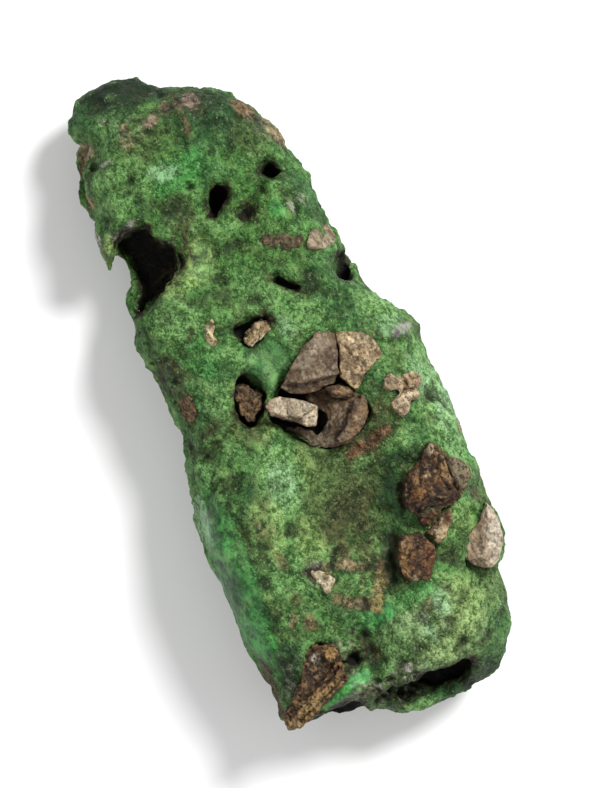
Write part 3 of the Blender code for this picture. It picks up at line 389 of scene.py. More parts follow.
# Where the crust is smooth and waxy instead of granular: middle x and y, half sizes, turn
WAXY = [
    (27.0, -21.2, 15.5, 2.9, -2), (41.8, -1.2, 1.8, 3.2, 0), (50.8, -10.4, 1.4, 5.0, 14),
    (-24.4, -6.6, 3.4, 1.8, -28), (-4.8, -2.6, 3.6, 3.6, -40), (-27.6, 8.6, 1.6, 1.4, 0),
    (33.4, 4.3, 5.4, 1.6, -20), (-1.3, 20.4, 2.1, 0.9, 104), (24.0, 8.6, 3.6, 1.6, -12),
]


def linear(finish):
    """The scene's colour for a finish given as the eye reads it."""
    share = np.array(finish, float) / 255
    return STUDIO_SHARE * np.where(share < 0.04045, share / 12.92, ((share + 0.055) / 1.055) ** 2.4)


# Meshes


def new_piece(name, mesh):
    """Puts a mesh into the scene as an object at the origin."""
    made = bpy.data.objects.new(name, mesh)
    bpy.context.scene.collection.objects.link(made)
    return made


def merged_copy(node):
    """A bmesh of a node's own solid in millimetres, with its loose triangles joined."""
    shape = bmesh.new()
    shape.from_mesh(node.data)
    bmesh.ops.remove_doubles(shape, verts=shape.verts, dist=1e-7)
    bmesh.ops.scale(shape, vec=(1 / MM, 1 / MM, 1 / MM), verts=shape.verts)
    shape.normal_update()
    return shape


def grow(shape, sideways, drop):
    """Moves the sides of a block outwards, and the whole block down."""
    for vertex in shape.verts:
        across = Vector((vertex.normal.x, vertex.normal.y, 0.0))
        vertex.co += across * sideways - Vector((0.0, 0.0, drop))


def to_mesh(shape, name):
    """Turns a bmesh into a mesh, and frees it."""
    mesh = bpy.data.meshes.new(name)
    shape.to_mesh(mesh)
    shape.free()
    return mesh


def with_modifiers(piece):
    """Gives the piece the mesh that its modifiers make, and removes them."""
    bpy.context.view_layer.update()
    graph = bpy.context.evaluated_depsgraph_get()
    mesh = bpy.data.meshes.new_from_object(piece.evaluated_get(graph))
    piece.modifiers.clear()
    piece.data = mesh


def remesh(piece, cell):
    """One closed skin round all that the piece is made of."""
    step = piece.modifiers.new("Remesh", "REMESH")
    step.mode = "VOXEL"
    step.voxel_size = cell
    with_modifiers(piece)


def relax(piece, factor, times):
    """Smooths the piece."""
    step = piece.modifiers.new("Smooth", "SMOOTH")
    step.factor = factor
    step.iterations = times
    with_modifiers(piece)


def divide_above(piece, height):
    """Divides in four each face that lies above a height and looks upwards."""
    shape = bmesh.new()
    shape.from_mesh(piece.data)
    high = [face for face in shape.faces if face.calc_center_median().z > height and face.normal.z > 0.15]
    edges = {edge for face in high for edge in face.edges}
    bmesh.ops.subdivide_edges(shape, edges=list(edges), cuts=1, use_grid_fill=True)
    piece.data = to_mesh(shape, piece.name)


def places(piece):
    """The places of a piece's points, one row for each."""
    co = np.zeros(len(piece.data.vertices) * 3)
    piece.data.vertices.foreach_get("co", co)
    return co.reshape(-1, 3)


def directions(piece):
    """The ways that a piece's points face, one row for each."""
    normals = np.zeros(len(piece.data.vertices) * 3)
    piece.data.vertices.foreach_get("normal", normals)
    return normals.reshape(-1, 3)


def move_to(piece, co):
    """Moves each point of a piece to its new place."""
    piece.data.vertices.foreach_set("co", co.ravel())
    piece.data.update()


def keep_values(piece, name, values):
    """Stores one value or colour for each point, for the finish to read."""
    if values.ndim == 1:
        layer = piece.data.attributes.new(name, "FLOAT", "POINT")
        layer.data.foreach_set("value", values.astype(np.float32))
        return
    layer = piece.data.attributes.new(name, "FLOAT_COLOR", "POINT")
    colours = np.concatenate([values, np.ones((len(values), 1))], axis=1)
    layer.data.foreach_set("color", colours.astype(np.float32).ravel())


def kept_values(piece, name):
    """The values that keep_values stored."""
    values = np.zeros(len(piece.data.vertices))
    piece.data.attributes[name].data.foreach_get("value", values)
    return values


def tree_of(mesh):
    """A mesh's faces, ready for looking up what is near or in the way."""
    shape = bmesh.new()
    shape.from_mesh(mesh)
    tree = BVHTree.FromBMesh(shape)
    shape.free()
    return tree


# Patterns over a surface


def shift_of(seed):
    """How far a pattern is shifted for its seed."""
    return seed, seed * 0.7, seed * 1.3


def wander(co, spacing, seed):
    """Smooth noise from about -1 to 1, one value for each point."""
    shift = Vector(shift_of(seed))
    return np.array([noise.noise(Vector(p) / spacing + shift) for p in co])


def drifted(co, *drifts):
    """The places in plan, moved a little by noise. A drift is its size, its spacing and its two seeds."""
    x, y = co[:, 0].copy(), co[:, 1].copy()
    for size, spacing, seed_x, seed_y in drifts:
        x += size * wander(co, spacing, seed_x)
        y += size * wander(co, spacing, seed_y)
    return x, y


def cells(co, spacing, seed):
    """For each point, how far it is from its cell's middle, and where that is."""
    shift = Vector(shift_of(seed))
    near, middle = np.zeros(len(co)), np.zeros((len(co), 3))
    for index, p in enumerate(co):
        distances, middles = noise.voronoi(Vector(p) / spacing + shift)
        near[index] = distances[0]
        middle[index] = middles[0]
    return near, middle


def chance(middle, seed):
    """A fixed random number from 0 to 1 for each cell."""
    mixed = np.sin(middle @ np.array([12.9898, 78.233, 37.719]) + seed) * 43758.5453
    return mixed - np.floor(mixed)


def rise(value, start, end):
    """From 0 at the start to 1 at the end, with soft ends."""
    share = np.clip((value - start) / (end - start), 0, 1)
    return share * share * (3 - 2 * share)


def patch(x, y, middle_x, middle_y, half_x, half_y, turn, softness=0.3):
    """1 inside an oval, falling to 0 across its soft edge."""
    c, s = math.cos(math.radians(turn)), math.sin(math.radians(turn))
    u = ((x - middle_x) * c + (y - middle_y) * s) / half_x
    v = (-(x - middle_x) * s + (y - middle_y) * c) / half_y
    return 1 - rise(np.hypot(u, v), 1 - softness, 1 + softness)


def distance_to(x, y, points):
    """How far each place in plan is from a line."""
    nearest = np.full(len(x), np.inf)
    for (x0, y0), (x1, y1) in zip(points[:-1], points[1:]):
        run = np.array([x1 - x0, y1 - y0])
        share = np.clip(((x - x0) * run[0] + (y - y0) * run[1]) / (run @ run), 0, 1)
        nearest = np.minimum(nearest, np.hypot(x - x0 - share * run[0], y - y0 - share * run[1]))
    return nearest


def depth_inside(x, y, outline):
    """How far each place lies inside a plan outline, and below 0 how far outside."""
    inside = np.zeros(len(x), bool)
    for (x0, y0), (x1, y1) in zip(outline, outline[1:] + outline[:1]):
        across = (y0 > y) != (y1 > y)
        if y0 != y1:
            inside ^= across & (x < x0 + (y - y0) * (x1 - x0) / (y1 - y0))
    nearest = distance_to(x, y, outline + outline[:1])
    return np.where(inside, nearest, -nearest)


def near_line(x, y, points, half_width, core=0.1):
    """1 along a line in plan, falling to 0 at its half width and at its ends."""
    return 1 - rise(distance_to(x, y, points) / half_width, core, 1.3)


def shelter(co, normals, tree):
    """How closed in each point is, from 0 in the open to 1 deep in a hollow."""
    golden = math.pi * (3 - math.sqrt(5))  # turns each look away from the last one
    looks = []
    for k in range(LOOKS_OUT):
        up = 1 - (k + 0.5) / LOOKS_OUT
        flat = math.sqrt(1 - up * up)
        looks.append(Vector((math.cos(golden * k) * flat, math.sin(golden * k) * flat, up)))
    closed = np.zeros(len(co))
    axis = Vector((0.0, 0.0, 1.0))
    for index, (p, n) in enumerate(zip(co, normals)):
        normal = Vector(n)
        turn = axis.rotation_difference(normal)
        start = Vector(p) + normal * 0.15
        hits = 0.0
        for look in looks:
            distance = tree.ray_cast(start, turn @ look, LOOK_REACH)[3]
            if distance is not None:
                hits += 1 - 0.5 * distance / LOOK_REACH
        closed[index] = hits / LOOKS_OUT
    return closed


# The crust


def uneven(outline, wobble):
    """The outline with more points, each moved a little, as a broken edge runs."""
    points = []
    for (x0, y0), (x1, y1) in zip(outline, outline[1:] + outline[:1]):
        steps = max(1, round(math.hypot(x1 - x0, y1 - y0) / UNEVEN_STEP))
        for step in range(steps):
            spot = Vector((x0 + (x1 - x0) * step / steps, y0 + (y1 - y0) * step / steps, 0.0))
            spot += wobble * (noise.noise_vector(spot / 1.3) + 0.5 * noise.noise_vector(spot / 0.6))
            points.append((spot.x, spot.y))
    return points


def prism(outline, floor, top):
    """A block with upright sides on a plan outline."""
    shape = bmesh.new()
    base = shape.faces.new([shape.verts.new((x, y, floor)) for x, y in outline])
    raised = bmesh.ops.extrude_face_region(shape, geom=[base])["geom"]
    rim = [one for one in raised if isinstance(one, bmesh.types.BMVert)]
    bmesh.ops.translate(shape, vec=(0.0, 0.0, top - floor), verts=rim)
    bmesh.ops.recalc_face_normals(shape, faces=shape.faces)
    return shape


def join(whole, shape):
    """Adds a shape to another, and frees it."""
    mesh = to_mesh(shape, "joined")
    whole.from_mesh(mesh)
    bpy.data.meshes.remove(mesh)


def open_up(piece):
    """Cuts the steep-sided openings."""
    blocks = []
    for number, (outline, floor, wobble, _) in enumerate(OPENINGS):
        shape = prism(uneven(outline, wobble), floor, ABOVE_ALL)
        blocks.append(new_piece(f"opening_{number}", to_mesh(shape, f"opening_{number}")))
    for block in blocks:
        step = piece.modifiers.new(block.name, "BOOLEAN")
        step.operation = "DIFFERENCE"
        step.solver = "EXACT"
        step.object = block
    with_modifiers(piece)
    for block in blocks:
        bpy.data.objects.remove(block)


def crust_body(nodes, fragments):
    """The stone's solid with each pocket filled to just under its fragment's top."""
    stone = new_piece("stone", to_mesh(merged_copy(nodes["variscite"]), "stone"))
    open_up(stone)
    whole = bmesh.new()
    whole.from_mesh(stone.data)
    bpy.data.objects.remove(stone)
    for name in fragments:
        drop = ROOT_DROPS.get(name.removeprefix("matrix_fragment_"), ROOT_DROP)
        root = merged_copy(nodes[name])
        grow(root, DEEP_ROOT_GROWTH if drop > DEEP_ROOT else ROOT_GROWTH, drop)
        filling = new_piece(name + "_root", to_mesh(root, name + "_root"))
        open_up(filling)
        whole.from_mesh(filling.data)
        bpy.data.objects.remove(filling)
    for outline, floor, top in EDGES:
        join(whole, prism(uneven(outline, EDGE_WOBBLE), floor, top))
    piece = new_piece("variscite_crust", to_mesh(whole, "variscite_crust"))
    remesh(piece, CRUST_CELL)
    relax(piece, 0.5, 2)
    return piece


def above_rest(co):
    """0 on the flat break that the stone lies on, 1 a little above it."""
    return rise(co[:, 2], 0.1, 1.6)


def shape_crust(piece):
    """Lumps, furrows and pits, before the seen side is divided."""
    co, normals = places(piece), directions(piece)
    calm = waxiness(co, normals)
    move = np.zeros(len(co))
    for spacing, height, seed in LUMPS:
        move += height * wander(co, spacing, seed)
    move *= (1 - 0.75 * calm) * above_rest(co)
    keep_values(piece, "relief", move)
    co = co + normals * move[:, None]
    x, y = drifted(co, (0.3, 1.6, 71.0, 83.0))
    face = rise(normals[:, 2], 0.1, 0.5) * rise(co[:, 2], *FACE_HEIGHTS)
    for points, half_width, depth in FURROWS:
        co[:, 2] -= face * depth * near_line(x, y, points, half_width)
    for middle_x, middle_y, half, depth in PITS:
        co[:, 2] -= face * depth * patch(x, y, middle_x, middle_y, half, half, 0, 0.6)
    rough = 0.5 + 0.9 * wander(co, 1.4, 43.0)
    for outline, _, _, darkness in OPENINGS:
        co[:, 2] -= face * darkness * RIM_WEAR * rough * rise(depth_inside(x, y, outline), -1.4, 0.1)
    near, middle = cells(co, PIT_SPACING, 13.0)
    small = (chance(middle, 2.0) > 0.5) * (1 - rise(near, 0.06, 0.17))
    co = co - normals * (small * PIT_DEPTH * (1 - calm) * above_rest(co))[:, None]
    move_to(piece, co)


def climb(piece, nodes):
    """Raises the crust towards the sides of the fragments that it has grown round."""
    co = places(piece)
    hollow = np.zeros(len(co))
    for outline, _, _, _ in OPENINGS:
        hollow = np.maximum(hollow, rise(depth_inside(co[:, 0], co[:, 1], outline), -1.0, 0.0))
    raised = np.zeros(len(co))
    for name, drop in CLIMBS.items():
        shape = merged_copy(nodes["matrix_fragment_" + name])
        corners = np.array([vertex.co for vertex in shape.verts])
        side = BVHTree.FromBMesh(shape)
        shape.free()
        top = corners[:, 2].max() - drop
        low, high = corners.min(axis=0)[:2] - CLIMB_REACH, corners.max(axis=0)[:2] + CLIMB_REACH
        beside = np.all((co[:, :2] > low) & (co[:, :2] < high), axis=1) & (co[:, 2] < top)
        beside &= co[:, 2] > top - CLIMB_DEPTH
        for index in np.flatnonzero(beside):
            distance = side.find_nearest(Vector(co[index]), CLIMB_REACH)[3]
            if distance is not None:
                gap = top - co[index, 2]
                near = 1 - distance / CLIMB_REACH
                raised[index] = max(raised[index], CLIMB_SHARE * gap * near * near * (1 - hollow[index]))
    steep = directions(piece)[:, 2]
    co[:, 2] += raised * rise(steep, 0.1, 0.5)
    move_to(piece, co)


def waxiness(co, normals):
    """Where the crust is smooth: the waxy places, and a few more on the back."""
    x, y = drifted(co, (0.8, 3.0, 51.0, 57.0))
    smooth = np.zeros(len(co))
    for one in WAXY:
        smooth = np.maximum(smooth, patch(x, y, *one))
    smooth *= rise(normals[:, 2], -0.4, 0.0)
    low = rise(9.0 - co[:, 2], 0.0, 5.0) * rise(wander(co, 9.0, 91.0), 0.1, 0.4)
    return np.maximum(smooth, 0.7 * low)


def grain_crust(piece):
    """Rounded grains over the divided crust."""
    co, normals = places(piece), directions(piece)
    calm = waxiness(co, normals)
    move = np.zeros(len(co))
    for spacing, height, seed in GRAINS:
        near, middle = cells(co, spacing, seed)
        size = 0.4 + 0.9 * chance(middle, seed)
        move += height * size * (1 - rise(near, 0.0, 0.8)) - 0.4 * height
    move += 0.07 * wander(co, 0.7, 67.0)
    move *= (1 - 0.8 * calm) * above_rest(co)
    move_to(piece, co + normals * move[:, None])


def back_share(co, normals):
    """1 on the underside and the lower sides, where host rock comes through."""
    return rise(BACK_HEIGHT - co[:, 2] - 6.0 * normals[:, 2] + 2.0 * wander(co, 4.0, 61.0), 1.0, 4.5)


def paint_crust(piece, closed, relief, rock_distance):
    """The crust's ground colour, point by point, from its named patches, with painted shade in its hollows,
    furrows, pits, openings and closed-in places and painted highlight on its lumps.
    """
    co, normals = places(piece), directions(piece)
    x, y = drifted(co, (0.55, 2.2, 21.0, 37.0), (0.25, 0.8, 25.0, 39.0))
    ground = np.tile(linear(MEADOW), (len(co), 1))

    def lay(finish, share):
        nonlocal ground
        ground = ground + (linear(finish) - ground) * share[:, None]

    # Broad changes of green
    lay(LEAF, 0.5 * rise(wander(co, 5.0, 2.0), 0.0, 0.5))
    lay(PINE, 0.5 * rise(wander(co, 6.0, 9.0), 0.05, 0.5))
    lay(MOSS, 0.4 * rise(wander(co, 3.6, 15.0), 0.1, 0.5))
    lay(DEEP, 0.45 * rise(wander(co, 2.4, 17.0), 0.08, 0.45))
    lay(SPRING, 0.3 * rise(wander(co, 1.9, 18.0), 0.1, 0.45))
    # Patches, with a dark green seam round those of host rock
    upward = rise(normals[:, 2], -0.5, 0.05)
    broken = 0.55 + 0.7 * rise(wander(co, 0.9, 27.0), -0.35, 0.15)
    stony = np.zeros(len(co))
    for finish, middle_x, middle_y, half_x, half_y, turn, strength, *softness in PATCHES:
        spot = patch(x, y, middle_x, middle_y, half_x, half_y, turn, *softness)
        if finish in ROCKY:
            lay(UMBER_GREEN, 0.45 * upward * patch(x, y, middle_x, middle_y, half_x + 0.5, half_y + 0.5, turn, 0.5))
            spot = np.minimum(rise(spot, 0.2, 0.7) * broken, 1)
            stony = np.maximum(stony, strength * upward * spot)
        lay(finish, strength * upward * spot)
    # Painted shade in the hollows and painted highlight on the lumps
    lay(UMBER_GREEN, 0.6 * rise(-relief, 0.12, 0.5))
    lay(DEEP, 0.5 * rise(-relief, 0.3, 0.6))
    lay(LEAF, 0.35 * rise(relief, 0.12, 0.5))
    waxy = waxiness(co, normals)
    lay(PINE, 0.6 * waxy * rise(wander(co, 2.2, 63.0), 0.0, 0.35))
    lay(LEAF, 0.4 * waxy * rise(wander(co, 2.7, 65.0), 0.05, 0.4))
    # Lines, which get a dark seam too unless they are jade
    for finish, points, half_width, strength in STREAKS:
        line = upward * np.minimum(strength * broken * near_line(x, y, points, half_width, 0.3), 1)
        if finish != JADE:
            lay(UMBER_GREEN, 0.6 * upward * near_line(x, y, points, half_width + 0.5))
            stony = np.maximum(stony, line)
        lay(finish, line)
    # Painted shade in the furrows and pits, and small dark specks
    for points, half_width, _ in FURROWS:
        lay(NIGHT, 0.6 * upward * near_line(x, y, points, 0.6 * half_width))
    for middle_x, middle_y, half, _ in PITS:
        lay(NIGHT, 0.6 * upward * patch(x, y, middle_x, middle_y, 0.7 * half, 0.7 * half, 0, 0.5))
    near, middle = cells(co, SPECK_SPACING, 77.0)
    lay(BARK, 0.75 * upward * (chance(middle, 5.0) > 0.5) * (1 - rise(near, 0.06, 0.2)))
    light_grit = rise(wander(co, 0.8, 95.0), 0.05, 0.35)
    dark_grit = rise(wander(co, 0.95, 99.0), 0.02, 0.3)
    for middle_x, middle_y, half_x, half_y, turn, light, dark, how_light, how_dark in GRITTY:
        spot = upward * patch(x, y, middle_x, middle_y, half_x, half_y, turn, 0.5)
        lay(light, how_light * spot * light_grit)
        lay(dark, how_dark * spot * dark_grit)
    # Host rock on the back
    back = back_share(co, normals)
    lay(BROWN, back * rise(wander(co, 8.0, 45.0), -0.12, 0.12))
    lay(TAN, 0.7 * back * rise(wander(co, 4.5, 49.0), 0.14, 0.34))
    lay(DEEP, 0.5 * back * rise(wander(co, 5.0, 53.0), 0.2, 0.4))
    # The insides of the openings, dark partly from their coating and partly as painted shade, and painted shade on
    # all that is closed in
    for outline, _, _, darkness in OPENINGS:
        depth = depth_inside(x, y, outline) + 0.8 * wander(co, 1.3, 19.0) + 0.4 * wander(co, 0.6, 29.0)
        lay(UMBER_GREEN, 0.7 * darkness * upward * rise(depth, -0.8, 0.1))
        lay(BARK, darkness * upward * rise(depth, -0.25, 0.4))
        lay(NIGHT, darkness * upward * rise(depth, 0.0, 0.9))
        lay(BROWN, 0.2 * darkness * upward * rise(depth, 0.0, 0.6) * rise(wander(co, 0.7, 33.0), 0.15, 0.45))
    lay(NIGHT, 0.92 * rise(closed, 0.5, 0.78))
    # A brown seam round each fragment, partly stain and partly painted shade where the crust meets the rock
    lay(BARK, 0.35 * (1 - rise(rock_distance, 0.1, 0.5)))
    keep_values(piece, "stony", np.maximum(stony, back))
    keep_values(piece, "ground", ground)
    keep_values(piece, "waxy", waxy)


def spread(values, piece):
    """Averages each point's value with its neighbours'."""
    edges = np.zeros(len(piece.data.edges) * 2, int)
    piece.data.edges.foreach_get("vertices", edges)
    a, b = edges.reshape(-1, 2).T
    count = np.bincount(a, minlength=len(values)) + np.bincount(b, minlength=len(values))
    near = np.bincount(a, values[b], len(values)) + np.bincount(b, values[a], len(values))
    return (values + near / np.maximum(count, 1)) / 2


def rock_distances(co, nodes, fragments):
    """How far each point is from the nearest fragment, up to a few millimetres."""
    rocks = bmesh.new()
    for name in fragments:
        join(rocks, merged_copy(nodes[name]))
    tree = BVHTree.FromBMesh(rocks)
    rocks.free()
    return np.array([tree.find_nearest(Vector(p), 3.0)[3] or 9.0 for p in co])


def make_crust(nodes, fragments, low, high):
    """The green crust, formed and painted."""
    piece = crust_body(nodes, fragments)
    climb(piece, nodes)
    shape_crust(piece)
    closed = shelter(places(piece), directions(piece), tree_of(piece.data))
    keep_values(piece, "shelter", spread(closed, piece))
    divide_above(piece, FINE_ABOVE)
    relax(piece, 0.5, 1)
    grain_crust(piece)
    fit_inside(piece, low, high)
    distance = rock_distances(places(piece), nodes, fragments)
    paint_crust(piece, kept_values(piece, "shelter"), kept_values(piece, "relief"), distance)
    return piece


def fit_inside(piece, low, high):
    """Keeps every point inside the part's own box."""
    move_to(piece, np.clip(places(piece), low, high))


def finish_piece(piece, material, slot, *nodes):
    """Brings a mesh to metres, gives it its finish, and has it stand for its CAD nodes."""
    move_to(piece, places(piece) * MM)
    piece.data.materials.clear()
    piece.data.materials.append(material)
    for face in piece.data.polygons:
        face.use_smooth = True
    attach(piece, "root")
    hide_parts(*nodes)


# The fragments

# Fragments built up from broken blocks: plan, height of the top over the fragment's own, root below it, and
# the breaks that shape it. A break is a place on it (x, y, height over the top) and the way it faces.
BLOCKS = {
    "cracked_left": [
        ([(-6.2, 6.7), (-5.6, 8.5), (-4.9, 9.7), (-3.2, 9.3), (-1.5, 8.9), (-0.2, 8.3), (1.6, 7.8), (1.3, 5.1),
          (1.2, 3.5), (1.0, 1.5), (0.4, 0.0), (-0.6, -0.9), (-1.7, -0.2), (-3.0, 1.5), (-4.2, 3.1), (-4.9, 4.4),
          (-5.5, 5.7)], 0.1, 6.0,
         [(-2.0, 4.5, -0.1, 100, 83), (-4.6, 5.4, -0.45, 208, 66), (-1.4, 0.2, -0.5, 235, 66)]),
        ([(-0.6, -1.0), (0.6, 1.0), (1.2, 3.7), (1.2, 5.1), (1.6, 7.6), (2.6, 6.6), (2.6, 3.2), (2.4, 1.2),
          (1.4, -0.9), (0.1, -2.1)], -0.7, 5.0, [(1.8, 3.0, -0.9, -10, 62)]),
    ],
    "cracked_upper": [
        ([(-4.9, 9.9), (-4.4, 11.5), (-3.6, 13.5), (-2.8, 14.7), (-1.5, 15.3), (0.2, 15.7), (1.3, 15.7),
          (1.9, 14.8), (2.2, 13.2), (3.1, 11.9), (4.4, 10.5), (5.1, 9.4), (3.6, 8.6), (2.2, 8.0), (0.7, 8.2),
          (-0.4, 8.8), (-2.6, 9.5), (-4.6, 9.8)], 0.1, 6.0,
         [(-0.5, 11.5, -0.1, 80, 80), (-2.8, 13.2, -0.45, 150, 62), (3.4, 10.8, -0.4, 35, 66)]),
    ],
    "cracked_right": [
        ([(2.8, 0.9), (2.8, 3.2), (2.9, 4.8), (3.2, 6.8), (4.0, 8.2), (5.2, 9.0), (6.8, 10.6), (9.0, 10.0),
          (10.9, 8.8), (12.3, 6.6), (12.9, 5.0), (12.7, 2.8), (12.1, 0.8), (10.7, -1.4), (8.7, -2.6),
          (7.0, -3.7), (5.6, -5.4), (6.4, -3.4), (7.6, -1.4), (8.8, 0.1), (9.9, 0.5), (9.4, 1.8),
          (8.3, 3.2), (6.9, 3.3), (5.7, 2.5), (5.1, 2.4), (3.9, 1.4)], -1.0, 6.0,
         [(7.0, 5.0, -1.5, 225, 64), (10.6, -0.6, -1.5, 290, 70)]),
        ([(2.9, 5.0), (3.2, 7.2), (4.1, 8.5), (5.2, 8.9), (5.9, 8.2), (5.4, 6.6), (4.4, 5.4)], 0.0, 5.0,
         [(4.2, 7.2, -0.1, 60, 74), (3.3, 6.6, -0.5, 190, 50), (5.0, 6.2, -0.4, 320, 50)]),
        ([(6.4, 8.6), (6.9, 10.5), (9.0, 9.9), (10.9, 8.7), (12.2, 6.5), (12.6, 4.2), (11.4, 3.0), (10.7, 4.8),
          (9.5, 6.1), (7.9, 7.3)], 0.1, 5.0,
         [(9.8, 7.6, -0.2, 60, 76)]),
    ],
    "block": [
        ([(2.1, -5.6), (1.3, -4.3), (1.4, -2.8), (2.6, -0.9), (3.9, 0.9), (5.2, 2.5), (6.6, 1.9), (8.2, 1.0),
          (7.6, -0.4), (6.3, -1.9), (5.1, -3.5), (3.8, -5.2)], 0.3, 6.0,
         [(3.8, -1.6, -0.1, 215, 74), (6.0, 0.3, -0.1, 18, 50), (5.0, -2.8, -0.15, -36, 52),
          (2.2, -4.8, -0.3, 240, 56)]),
    ],
    "large_brown": [
        ([(17.9, 17.0), (18.6, 18.2), (19.8, 18.6), (21.2, 19.2), (24.2, 19.2), (26.6, 19.7), (28.2, 18.8),
          (28.8, 17.2), (28.8, 15.2), (29.6, 13.8), (30.5, 12.4), (30.3, 11.2), (28.2, 10.9), (27.0, 10.0),
          (25.4, 9.9), (24.0, 10.6), (22.3, 11.2), (21.1, 12.6), (20.5, 14.0), (19.8, 15.2), (18.8, 16.0)],
         0.0, 7.0,
         [(24.5, 15.0, -0.2, 70, 80), (20.0, 16.6, -0.8, 200, 60), (29.0, 13.4, -0.7, -20, 62),
          (23.6, 11.8, -0.7, 245, 58), (20.6, 18.2, -0.5, 118, 64)]),
        ([(22.0, 16.8), (24.6, 17.8), (27.2, 16.6), (26.6, 13.4), (24.0, 12.4), (22.2, 14.2)], 0.6, 5.0,
         [(24.6, 15.0, -0.1, 100, 76), (26.4, 14.4, -0.3, -20, 50), (23.2, 13.8, -0.4, 215, 50)]),
        ([(21.6, 19.0), (21.9, 20.4), (22.7, 21.4), (24.2, 21.9), (25.7, 21.8), (26.7, 20.6), (27.0, 19.8),
          (25.0, 18.8)], -0.7, 5.0, [(24.4, 20.2, -0.9, 95, 78)]),
    ],
    "small_tan": [
        ([(29.6, 16.5), (31.0, 16.3), (32.2, 15.1), (33.3, 13.9), (33.9, 12.6), (33.2, 12.1), (32.4, 12.4),
          (31.6, 11.3), (30.9, 12.4), (30.3, 13.8), (29.5, 15.2)], 0.1, 5.0,
         [(31.6, 14.0, -0.1, 60, 78), (30.4, 14.2, -0.4, 205, 54), (33.0, 13.0, -0.3, 20, 60)]),
    ],
    "russet": [
        ([(30.7, 10.3), (32.2, 10.7), (33.1, 11.0), (33.6, 11.9), (35.2, 11.5), (36.4, 10.7), (37.8, 9.7),
          (39.0, 8.8), (38.8, 8.0), (38.1, 7.6), (38.2, 6.5), (37.4, 5.9), (36.4, 5.1), (34.4, 5.1), (32.8, 5.7),
          (31.2, 6.7), (30.5, 7.6), (31.0, 9.0)], 0.15, 6.0,
         [(34.6, 8.4, -0.1, 60, 82), (35.4, 6.2, -0.45, 262, 60), (38.0, 8.0, -0.4, 350, 60),
          (31.4, 8.8, -0.5, 180, 60)]),
    ],
    "rim_grey": [
        ([(30.9, 22.6), (32.4, 23.3), (35.0, 23.3), (36.6, 23.2), (38.2, 22.5), (39.6, 21.6), (40.6, 20.7),
          (41.1, 19.4), (40.7, 17.9), (39.6, 16.6), (38.0, 15.9), (36.0, 15.9), (35.3, 16.8), (34.7, 17.8),
          (34.0, 19.0), (33.3, 20.2), (32.1, 21.1)], 0.0, 8.0,
         [(37.2, 20.2, -0.1, 55, 66), (36.8, 19.4, -0.1, 235, 60), (38.9, 17.2, -0.6, -50, 52),
          (36.6, 22.6, -0.9, 85, 50)]),
    ],
    "forked": [
        ([(5.2, 14.4), (4.9, 15.4), (5.6, 16.6), (6.3, 17.2), (5.9, 17.9), (5.9, 19.0), (6.7, 20.1), (7.6, 20.3),
          (8.4, 19.5), (8.8, 18.7), (9.6, 18.9), (10.2, 18.3), (9.9, 17.4), (10.8, 16.9), (11.8, 16.1),
          (12.2, 15.3), (11.6, 14.4), (10.4, 14.0), (9.4, 14.0), (8.8, 14.9), (8.4, 15.9), (7.9, 15.9),
          (7.4, 14.9), (6.6, 14.0)], 0.1, 4.0, [(8.2, 17.0, -0.1, 70, 84)]),
    ],
    "corner_porous": [
        ([(42.3, -12.0), (43.2, -9.8), (45.6, -9.6), (47.4, -10.2), (49.2, -9.9), (50.4, -12.6), (51.6, -15.0),
          (52.8, -17.6), (54.0, -20.6), (53.7, -22.4), (51.2, -22.4), (49.6, -20.2), (47.4, -17.9),
          (44.8, -16.5), (42.3, -15.9), (41.9, -13.8)], 0.1, 6.0,
         [(46.0, -12.6, -0.1, 250, 82), (51.4, -18.8, -1.4, 292, 64)]),
        ([(42.8, -10.4), (43.6, -9.6), (45.4, -9.9), (45.7, -11.4), (44.6, -12.2), (43.2, -12.0)], 0.7, 4.0,
         [(44.2, -10.8, 0.4, 120, 70)]),
    ],
}

